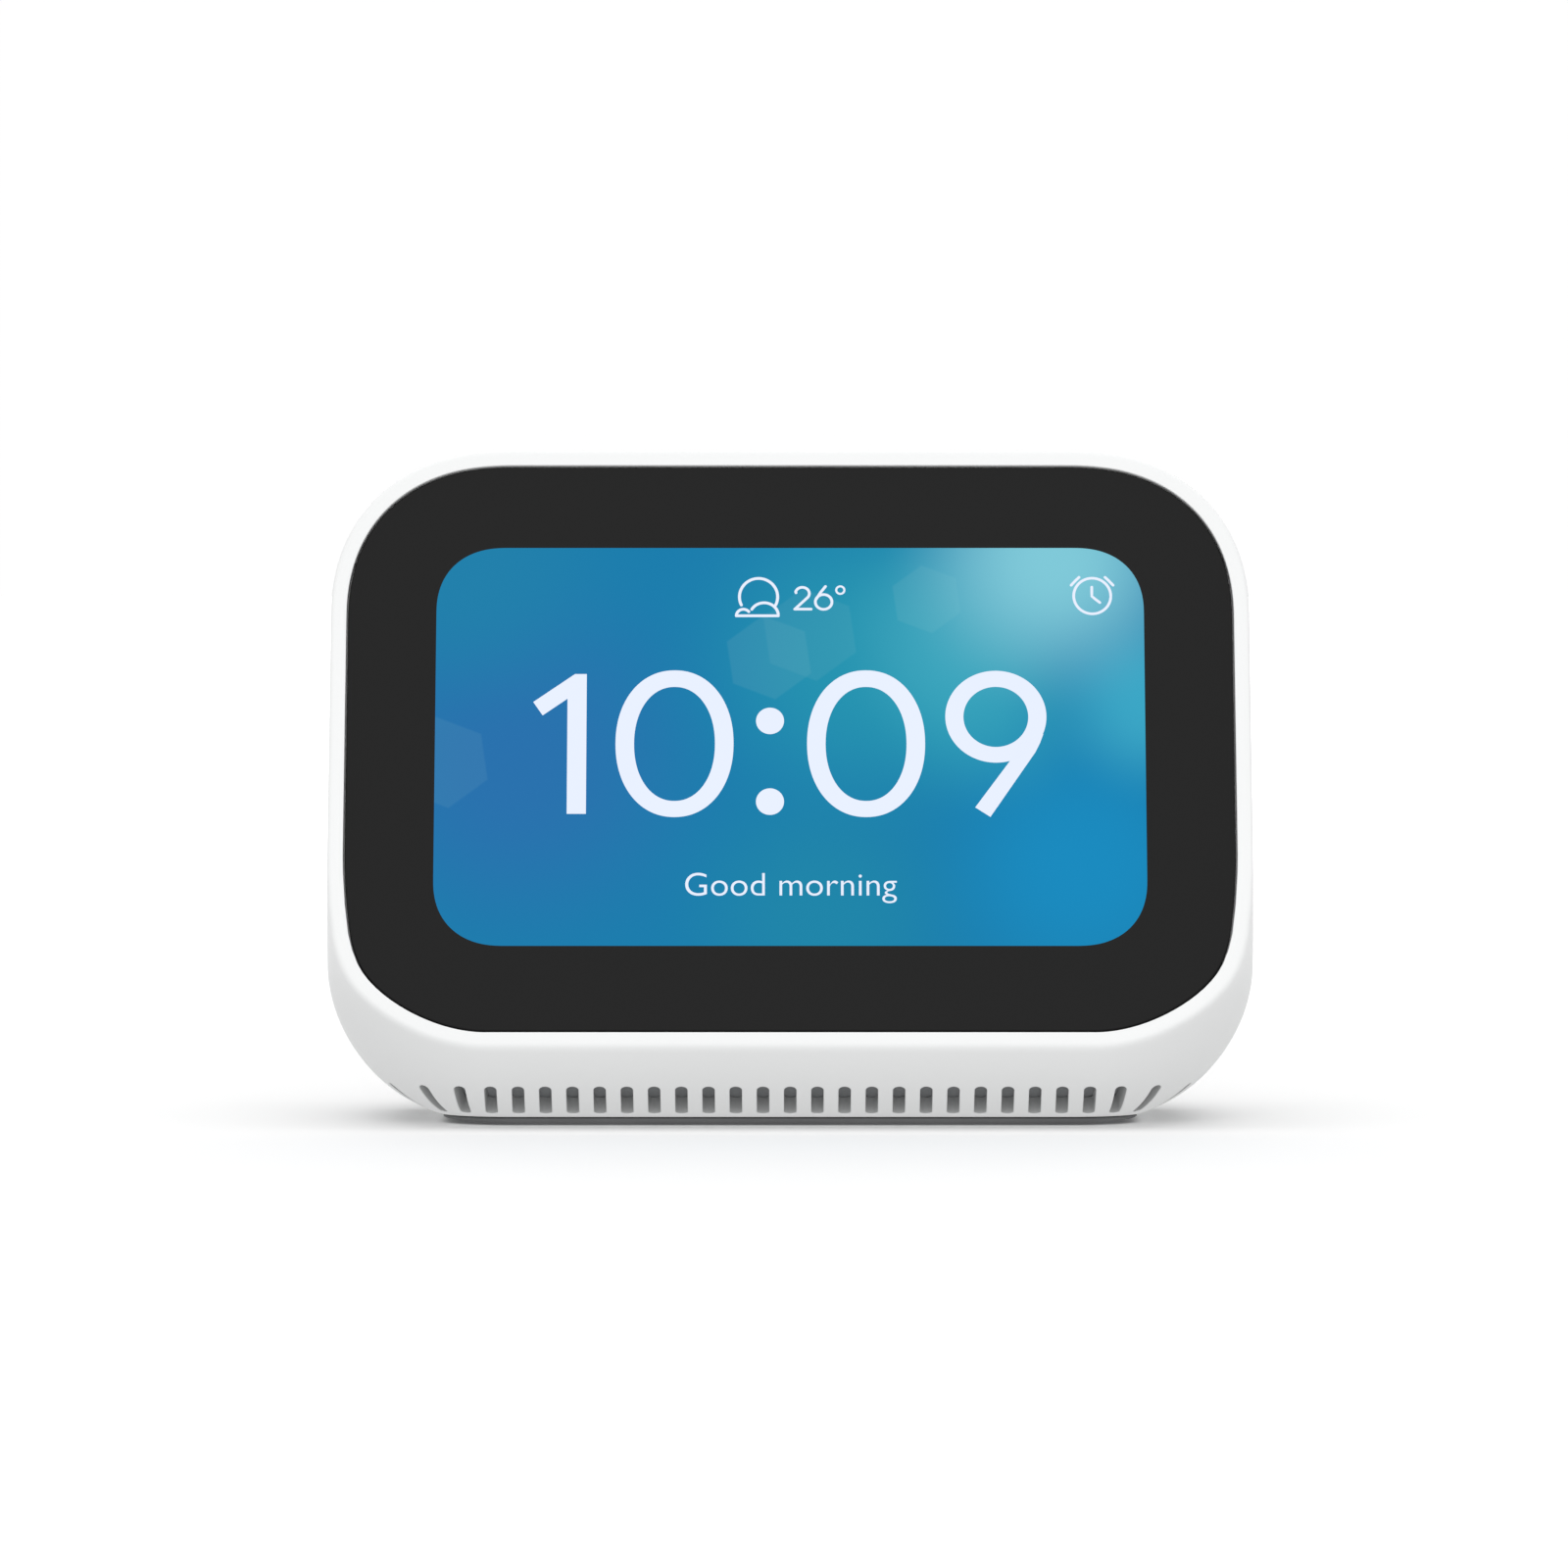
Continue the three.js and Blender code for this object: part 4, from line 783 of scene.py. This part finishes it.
# Float glass printed black on the back and etched matt on the front against glare.
printed_glass, tree, shader = new_material("etched_glass_black_print")
speck = noise(tree, 0.12, 1.0)
two_tones(tree, shader, speck, "#191919", "#1D1D1D")
varied_gloss(tree, shader, speck, 0.50, 0.58)
set_even(shader, IOR=1.52, Specular_IOR_Level=0.08)
cover.data.materials.append(printed_glass)

# Lit panel behind the clear window: a calm blue-green sky with a bright patch at the
# upper right and a few faint six-sided light spots. Places are in millimetres from
# the middle of the screen, stored as hundredths in the map named screen.
picture, tree, shader = new_material("lit_screen_picture")
where = add_node(tree, "ShaderNodeUVMap", {"uv_map": "screen"}).outputs["UV"]
colour = linear("#127CAC")
glows = [
    ((-34, -2), 34, "#2470AD", 1.0),
    ((-40, 24), 26, "#1B7FAA", 0.9),
    ((10, 12), 30, "#2195B0", 0.9),
    ((4, -22), 24, "#1885A8", 0.9),
    ((36, -16), 26, "#108ABF", 0.95),
    ((24, 6), 18, "#35A9BE", 0.55),
    ((44, 6), 16, "#3FB0CC", 0.75),
    ((20, 15), 18, "#48AFC4", 0.5),
    ((32.5, 24.5), 23, "#80CAD9", 0.97),
]
for (x, y), reach, shade, strength in glows:
    away = add_node(tree, "ShaderNodeVectorMath", {"operation": "DISTANCE"}, n0=where,
                    n1=(x / 100, y / 100, 0))
    fade = add_node(tree, "ShaderNodeMapRange", {"interpolation_type": "SMOOTHERSTEP"},
                    Value=away.outputs["Value"], From_Min=0.0, From_Max=reach / 100,
                    To_Min=strength, To_Max=0.0)
    colour = add_node(tree, "ShaderNodeMixRGB", None, Fac=fade.outputs["Result"],
                      Color1=colour, Color2=linear(shade)).outputs["Color"]
spots = [
    ((-2.6, 11.6), 4.9, 0.06),
    ((2.4, 14.6), 5.4, 0.05),
    ((16.8, 19.3), 4.0, 0.07),
    ((-42.6, -2.2), 5.3, 0.05),
]
spot_turn = 8
for (x, y), reach, strength in spots:
    offset = add_node(tree, "ShaderNodeVectorMath", {"operation": "SUBTRACT"}, n0=where,
                      n1=(x / 100, y / 100, 0)).outputs["Vector"]
    widest = None
    for side in range(3):
        turn = math.radians(60 * side + spot_turn)
        push = add_node(tree, "ShaderNodeVectorMath", {"operation": "DOT_PRODUCT"}, n0=offset,
                        n1=(math.cos(turn), math.sin(turn), 0)).outputs["Value"]
        size = add_node(tree, "ShaderNodeMath", {"operation": "ABSOLUTE"}, n0=push).outputs[0]
        if widest is not None:
            size = add_node(tree, "ShaderNodeMath", {"operation": "MAXIMUM"}, n0=widest,
                            n1=size).outputs[0]
        widest = size
    mask = add_node(tree, "ShaderNodeMapRange", {"interpolation_type": "SMOOTHSTEP"},
                    Value=widest, From_Min=(reach - 0.25) / 100, From_Max=(reach + 0.1) / 100,
                    To_Min=strength, To_Max=0.0)
    colour = add_node(tree, "ShaderNodeMixRGB", None, Fac=mask.outputs["Result"],
                      Color1=colour, Color2=linear("#8FD3D6")).outputs["Color"]
tree.links.new(colour, shader.inputs["Emission Color"])
set_even(shader, Emission_Strength=1.0, Base_Color=linear("#050607"), Roughness=0.5, IOR=1.52,
         Specular_IOR_Level=0.03)
cover.data.materials.append(picture)
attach(cover, "housing")
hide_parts("cover_glass")


# ---------------------------------------------------------------------------
# Figures on the screen: a plain clock reading, a small weather sign with degrees, an
# alarm sign and a line of words, all drawn as flat lit shapes in the picture's plane.
figures = bmesh.new()
figure_lift = glass_front - 0.012


def figure_points(outline):
    places = flat_loop(np.array(outline, float), figure_lift, screen_middle)
    return [figures.verts.new(p) for p in places]


def lay(outline):
    """Flat shape from one outline, in millimetres from the middle of the screen."""
    figures.faces.new(figure_points(outline))


def lay_band(outer, inner, closed=True):
    """Flat band between two outlines of the same number of points."""
    outer, inner = figure_points(outer), figure_points(inner)
    count = len(outer) if closed else len(outer) - 1
    for k in range(count):
        n = (k + 1) % len(outer)
        figures.faces.new((outer[k], outer[n], inner[n], inner[k]))


def oval(x, y, rx, ry, power=2.0, begin=0.0, end=360.0, count=96):
    turn = np.radians(np.linspace(begin, end, count + 1))
    if end - begin >= 360:
        turn = turn[:-1]
    c, s = np.cos(turn), np.sin(turn)
    across = x + rx * np.sign(c) * np.abs(c) ** (2 / power)
    up = y + ry * np.sign(s) * np.abs(s) ** (2 / power)
    return np.stack([across, up], -1)


def stroke(path, width):
    """A line of even width along a path of points, with round ends."""
    path = np.array(path, float)
    tangent = np.gradient(path, axis=0)
    tangent /= np.linalg.norm(tangent, axis=1, keepdims=True)
    side = np.stack([-tangent[:, 1], tangent[:, 0]], -1) * width / 2
    lay_band(path + side, path - side, closed=False)
    for end in (path[0], path[-1]):
        lay(oval(end[0], end[1], width / 2, width / 2, count=24))


# Clock reading.
for x in (-14.16, 9.29):
    lay_band(oval(x, 0.26, 7.23, 9.63, 2.12), oval(x, 0.22, 4.95, 7.48, 2.12))
lay([(-24.95, 9.4), (-26.4, 9.4), (-31.5, 5.72), (-30.33, 3.95), (-27.3, 6.15), (-27.3, -8.95),
     (-24.95, -8.95)])
for y in (3.23, -7.35):
    lay(oval(-2.47, y, 1.72, 1.74, count=48))
lay_band(oval(25.2, 3.79, 6.2, 6.04), oval(25.2, 3.76, 3.97, 3.95))
lay([(31.0, 1.5), (30.6, 0.35), (30.0, -0.9), (24.45, -9.35), (22.6, -8.1), (27.15, -1.65),
     (28.2, 0.4)])

# Weather sign: a sun behind two clouds on a line, and the reading beside it.
sign_line, thin_line, degree_line = 0.36, 0.34, 0.26
stroke(oval(-3.89, 19.6, 2.35, 2.45, begin=-26, end=206, count=48), sign_line)
stroke(oval(-3.2, 17.1, 1.75, 1.72, begin=8, end=150, count=32), sign_line)
stroke(oval(-5.75, 17.1, 0.86, 0.86, begin=40, end=175, count=20), sign_line)
stroke([(-6.62, 17.1), (-4.0, 17.1), (-1.46, 17.1)], sign_line)
two = [(0.72, 20.15), *oval(1.5, 20.05, 0.86, 0.82, begin=165, end=-38, count=16), (0.62, 18.02)]
stroke(two, thin_line)
stroke([(0.56, 17.98), (1.6, 17.98), (2.58, 17.98)], thin_line)
stroke(oval(4.12, 18.93, 1.02, 0.98, count=40), thin_line)
stroke([(3.22, 19.32), (3.75, 20.2), (4.35, 20.98)], thin_line)
stroke(oval(6.17, 20.5, 0.5, 0.5, count=32), degree_line)

# Alarm sign: a round clock with two hands and two bells.
alarm_x = 37.17
stroke(oval(alarm_x, 19.72, 2.28, 2.36, count=64), thin_line)
stroke([(37.12, 20.9), (37.12, 20.2), (37.12, 19.68), (37.6, 19.25), (38.1, 18.85)], thin_line)
for side in (-1, 1):
    bell = [(2.58, 21.15), (2.05, 21.75), (1.6, 22.2)]
    stroke([(alarm_x + side * x, y) for x, y in bell], thin_line)
screen_figures = finish_mesh("screen_figures", figures, 60.0)

words = bpy.data.curves.new("screen_words", "FONT")
words.body = "Good morning"
words_below = 19.6
words.size = 4.35 * MM
words.align_x = "CENTER"
words.offset = -0.03 * MM
words_piece = bpy.data.objects.new("screen_words", words)
bpy.context.scene.collection.objects.link(words_piece)
words_place = face_point(0.0, screen_middle - words_below, figure_lift)
words_piece.location = (words_place[0] * MM, (words_place[1] - depth / 2) * MM, words_place[2] * MM)
words_piece.rotation_euler = (math.pi / 2 - face_tilt, 0, 0)

# White light from the panel, a touch blue.
lit_figures, tree, shader = new_material("lit_screen_figures")
two_tones(tree, shader, noise(tree, 20), "#E6EEFD", "#EAF1FF", "Emission Color")
set_even(shader, Emission_Strength=1.0, Base_Color=linear("#050607"), Specular_IOR_Level=0.1)
for piece in (screen_figures, words_piece):
    piece.data.materials.append(lit_figures)
    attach(piece, "housing")


# ---------------------------------------------------------------------------
# Volume keys: two white caps flush in the crown, each dished for the finger and with
# a raised sign, a plus on the right and a minus on the left. They press straight down.
key_base = height - 2.0
key_edge = 0.35
key_dish = 0.25
key_dish_edge = 2.3
key_sink = 0.1
sign_reach, sign_thick, sign_edge = 1.1, 0.22, 0.06
sign_root, sign_sink = 0.05, 0.08


def key_ring(x, shrink, z):
    flat = quarter_turn(rounded_slot(key_size[1], key_size[0], -shrink, 16))
    return np.stack([x + flat[:, 0], key_y + flat[:, 1], flat[:, 1] * 0 + z], -1)


# Pad-printed grey ink on the signs: a thin matt coat with slightly uneven cover.
sign_ink, tree, shader = new_material("pad_printed_grey_ink")
two_tones(tree, shader, noise(tree, 0.25), "#8A8D90", "#96999B")
set_even(shader, Roughness=0.6, IOR=1.5)

square = ((-1, -1), (1, -1), (1, 1), (-1, 1))


def add_block(body, layers):
    """A small block built up from rings of four corners and closed at the last one."""
    first = [body.verts.new(p) for p in layers[0]]
    body.faces.new(add_bands(body, first, layers[1:]))


for side, name in ((-1, "volume_down"), (1, "volume_up")):
    cap = bmesh.new()
    x = side * key_offset
    top = height - key_sink
    ring = [cap.verts.new(p) for p in key_ring(x, 0.0, key_base)]
    loops = [key_ring(x, key_edge * (1 - math.cos(t)), top - key_edge * (1 - math.sin(t)))
             for t in np.linspace(0, math.pi / 2, 6)]
    for share in (0.3, 0.6, 0.85, 1.0):
        inset = key_edge + (key_dish_edge - key_edge) * share
        loops.append(key_ring(x, inset, top - key_dish * math.sin(share * math.pi / 2)))
    ring = add_bands(cap, ring, loops)
    cap.faces.new(ring)
    cap_faces = set(cap.faces)
    sign_low, sign_high = top - key_dish - sign_root, top - sign_sink
    levels = ((sign_low, 0.0), (sign_high - sign_edge, 0.0), (sign_high, sign_edge))
    bars = [(sign_reach, sign_thick)]
    if side > 0:
        bars.append((sign_thick, sign_reach))
    for reach, thick in bars:
        add_block(cap, [[(x + i * (reach - shrink), key_y + j * (thick - shrink), z)
                         for i, j in square] for z, shrink in levels])
    for flat in set(cap.faces) - cap_faces:
        flat.material_index = 1
    key = finish_mesh(f"{name}_cap", cap, 40.0)
    key.data.materials.append(white_abs)
    key.data.materials.append(sign_ink)
    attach(key, f"{name}_button")
    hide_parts(f"{name}_key")


# ---------------------------------------------------------------------------
# Microphone switch: a grey knob with three ribs for the nail, sliding sideways in its
# slot in the back cover.
knob_low, knob_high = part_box("mic_mute_slider")
knob_face = knob_high[1] / MM + depth / 2
knob_half = (2.25, 1.3)
knob_corner = 0.45
knob_edge = 0.25
knob_root = 2.0
rib_pitch, rib_length, rib_slope = 1.1, 0.85, 0.4
knob = bmesh.new()


def knob_loop(shrink, y):
    outline = rounded_slot(2 * knob_corner, 2 * knob_corner, 0.0, 6)
    reach = np.array(knob_half) - knob_corner - shrink
    spread = np.where(np.abs(outline) < 1e-9, 0, np.sign(outline)) * reach
    flat = outline + spread
    return np.stack([knob_x + flat[:, 0], flat[:, 0] * 0 + y, knob_z + flat[:, 1]], -1)


knob_start = [knob.verts.new(p) for p in knob_loop(0.0, knob_low[1] / MM + depth / 2 + knob_root)]
knob_loops = [knob_loop(knob_edge * (1 - math.cos(t)), knob_face - (2 - math.sin(t)) * knob_edge)
              for t in np.linspace(0, math.pi / 2, 5)]
knob_end = add_bands(knob, knob_start, knob_loops)
knob.faces.new(knob_end)
rib_levels = ((0.32, knob_face - 0.3), (0.24, knob_face - 0.06), (0.14, knob_face))
for step in (-1, 0, 1):
    middle = knob_x + step * rib_pitch
    add_block(knob, [[(middle + i * wide, y, knob_z + j * (rib_length + wide * rib_slope))
                      for i, j in square] for wide, y in rib_levels])
mute_knob = finish_mesh("mute_knob_cap", knob, 40.0)

# Moulded acetal in mid grey: waxy, with a soft sheen.
acetal, tree, shader = new_material("moulded_grey_acetal")
grain = noise(tree, 0.2)
two_tones(tree, shader, grain, "#9A9DA0", "#A3A6A8")
relief(tree, shader, grain, 0.1, 0.02)
set_even(shader, Roughness=0.42, IOR=1.48)
mute_knob.data.materials.append(acetal)
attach(mute_knob, "mute_knob")
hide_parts("mic_mute_slider")


# ---------------------------------------------------------------------------
# Inside and behind the openings: circuit boards, speaker, screws, ribbons and leads
# keep their solids. Each gets the finish of what it is made of, by material slot.
def plain_finish(name, low, high, roughness, grain_mm, bump=0.2, metallic=0.0, stretch=None):
    """A finish of two close tones broken up by a grain of a real size, and its relief."""
    made, tree, shader = new_material(name)
    grain = noise(tree, grain_mm, 3.0, stretch)
    two_tones(tree, shader, grain, low, high)
    varied_gloss(tree, shader, grain, roughness - 0.06, roughness + 0.06)
    relief(tree, shader, grain, bump, 0.03)
    set_even(shader, Metallic=metallic)
    if not metallic:
        set_even(shader, IOR=1.5)
    return made


# The dust cloth's grey is a chosen tone too, much lighter than its solid's own colour.
finishes = {
    "black_foam_tape": plain_finish("closed_cell_foam_tape", "#1B1B1B", "#242424", 0.9, 0.3),
    "lcd_polariser": plain_finish("polariser_film", "#16242C", "#1B2B34", 0.3, 5.0, 0.02),
    "white_light_guide": plain_finish("moulded_white_tray", "#E4E5E5", "#ECEDED", 0.5, 0.4),
    "stamped_steel": plain_finish("rolled_galvanised_steel", "#9DA1A5", "#B2B6B9", 0.4, 0.5, 0.1,
                                  1.0, stretch=(1, 8, 8)),
    "screw_steel": plain_finish("zinc_plated_steel", "#AEB2B5", "#C6C9CC", 0.32, 0.4, 0.1, 1.0),
    "black_box_plastic": plain_finish("moulded_black_abs", "#222325", "#2A2B2D", 0.6, 0.2),
    "gasket_foam": plain_finish("open_foam_gasket", "#1A1A1B", "#232324", 0.95, 0.25, 0.4),
    "painted_basket_steel": plain_finish("painted_pressed_steel", "#232528", "#2C2E31", 0.45, 0.6),
    "ferrite_magnet": plain_finish("ground_ferrite", "#26272A", "#333437", 0.55, 0.3),
    "copper_winding": plain_finish("enamelled_copper_wire", "#9A5A2C", "#B87040", 0.3, 0.25, 0.4,
                                   1.0, stretch=(1, 1, 12)),
    "cone_paper": plain_finish("pressed_pulp_cone", "#1F2023", "#2B2C2F", 0.85, 0.35, 0.4),
    "cap_plastic": plain_finish("formed_film_cap", "#17181A", "#1E1F21", 0.4, 0.5, 0.05),
    "surround_rubber": plain_finish("rubber_surround", "#141517", "#1B1C1E", 0.7, 0.3),
    "dust_cloth": plain_finish("woven_dust_cloth", "#8E9092", "#A6A8AA", 0.95, 0.35, 0.6),
    "green_board": plain_finish("solder_masked_board", "#14502F", "#1B5F3B", 0.35, 1.2, 0.1),
    "tinned_shield": plain_finish("tinned_steel_shield", "#B6B9BC", "#C9CCCE", 0.35, 0.8, 0.1, 1.0),
    "spreader_aluminium": plain_finish("mill_finish_aluminium", "#C2C5C8", "#D2D5D7", 0.42, 0.5, 0.1,
                                       1.0, stretch=(1, 1, 8)),
    "amber_film": plain_finish("polyimide_film", "#8E5420", "#A5662A", 0.35, 1.0, 0.05),
    "black_lead": plain_finish("extruded_black_jacket", "#1C1C1E", "#252527", 0.5, 0.5, 0.1),
    "red_lead": plain_finish("extruded_red_jacket", "#7C231E", "#8F2F29", 0.5, 0.5, 0.1),
    "black_jack_plastic": plain_finish("moulded_black_nylon", "#1B1C1E", "#242527", 0.5, 0.2),
    "nickel_pin": plain_finish("nickel_plated_brass", "#BDBFC0", "#CFD0D0", 0.22, 0.6, 0.05, 1.0),
    "switch_steel": plain_finish("stainless_switch_frame", "#A8ABAD", "#BEC1C3", 0.35, 0.5, 0.1,
                                 1.0),
    "black_stem_plastic": plain_finish("moulded_black_acetal", "#18191A", "#202123", 0.45, 0.3),
    "gold_can": plain_finish("gold_flashed_can", "#B99C5C", "#CBB070", 0.3, 0.5, 0.05, 1.0),
    "boot_silicone": plain_finish("moulded_black_silicone", "#18191A", "#222324", 0.8, 0.3),
}
for entry in frame["record"]["subparts"]:
    if entry["material_slot"] in finishes:
        solid = frame["nodes"][entry["node"]]
        solid.data.materials.clear()
        solid.data.materials.append(finishes[entry["material_slot"]])


# ---------------------------------------------------------------------------
# Studio: a round white paper floor inside a white cloth wall lit from behind, under a
# wide soft ceiling light and two softer ones. The floor's glow away from the object is
# painted light. Floor and wall are hidden from diffuse rays, so they throw no light back
# on the object, which a real floor would.
floor_radius = 6.0
floor_drop = 0.00005
wall_height = 5.0
round_steps = 96
floor_mesh = bmesh.new()
wall_mesh = bmesh.new()
turns = [2 * math.pi * k / round_steps for k in range(round_steps)]


def level_ring(body, radius, z):
    return [body.verts.new((radius * math.cos(t), radius * math.sin(t), z)) for t in turns]


rings = [level_ring(floor_mesh, r, -floor_drop) for r in (0.6, 1.5, 3.0, 4.5, floor_radius)]
floor_mesh.faces.new(rings[0])
for inner, outer in zip(rings, rings[1:]):
    for k in range(round_steps):
        n = (k + 1) % round_steps
        floor_mesh.faces.new((inner[k], outer[k], outer[n], inner[n]))
wall_rings = [level_ring(wall_mesh, floor_radius, z) for z in (0.0, wall_height)]
for k in range(round_steps):
    n = (k + 1) % round_steps
    wall_mesh.faces.new((wall_rings[0][k], wall_rings[0][n], wall_rings[1][n], wall_rings[1][k]))
floor = finish_mesh("paper_floor", floor_mesh, 60.0, 1.0, 0.0)
wall = finish_mesh("cloth_wall", wall_mesh, 60.0, 1.0, 0.0)
glow_start, glow_full = 0.12, 0.9
for piece, name, shade in ((floor, "white_paper_painted_glow", "#F0F0F0"),
                           (wall, "backlit_white_cloth", "#101010")):
    made, tree, shader = new_material(name)
    set_even(shader, Base_Color=linear(shade), Roughness=1.0, Specular_IOR_Level=0.0,
             Emission_Color=(1, 1, 1, 1), Emission_Strength=1.0)
    # The floor's glow is painted light: none within 12 cm of the middle, full from 90 cm out, so the
    # far floor stays white while the floor near the object keeps its shade.
    if piece is floor:
        place = add_node(tree, "ShaderNodeTexCoord").outputs["Object"]
        away = add_node(tree, "ShaderNodeVectorMath", {"operation": "LENGTH"}, n0=place)
        lit = add_node(tree, "ShaderNodeMapRange", {"interpolation_type": "SMOOTHSTEP"},
                       Value=away.outputs["Value"], From_Min=glow_start, From_Max=glow_full,
                       To_Min=0.0, To_Max=1.0)
        tree.links.new(lit.outputs["Result"], shader.inputs["Emission Strength"])
    piece.data.materials.append(made)
    piece.visible_diffuse = False


def soft_light(name, place, aim, size, power):
    lamp = bpy.data.lights.new(name, "AREA")
    lamp.shape = "RECTANGLE"
    lamp.size, lamp.size_y = size
    lamp.energy = power
    made = bpy.data.objects.new(name, lamp)
    made.location = place
    made.rotation_euler = (Vector(aim) - Vector(place)).to_track_quat("-Z", "Y").to_euler()
    bpy.context.scene.collection.objects.link(made)


soft_light("ceiling", (0, 0, 4.0), (0, 0, 0), (6.0, 6.0), 68)
soft_light("front", (0, -3.2, 1.6), (0, 0, 0.05), (3.0, 2.0), 36)
soft_light("back", (0, 3.2, 1.8), (0, 0, 0.05), (3.0, 2.0), 24)
surroundings = bpy.data.worlds.new("studio_air")
surroundings.use_nodes = True
surroundings.node_tree.nodes["Background"].inputs["Color"].default_value = (1, 1, 1, 1)
surroundings.node_tree.nodes["Background"].inputs["Strength"].default_value = 0.77
bpy.context.scene.world = surroundings
bpy.context.scene.view_settings.view_transform = "Standard"

focal_length = 250.4
camera_place = (-0.000756, -1.35345, 0.07886)
camera_fall = 1.6
lens = bpy.data.cameras.new("camera")
lens.sensor_width = 36
lens.lens = focal_length
lens.clip_end = 50
camera = bpy.data.objects.new("camera", lens)
camera.location = camera_place
camera.rotation_euler = (math.radians(90 - camera_fall), 0, 0)
bpy.context.scene.collection.objects.link(camera)
bpy.context.scene.camera = camera
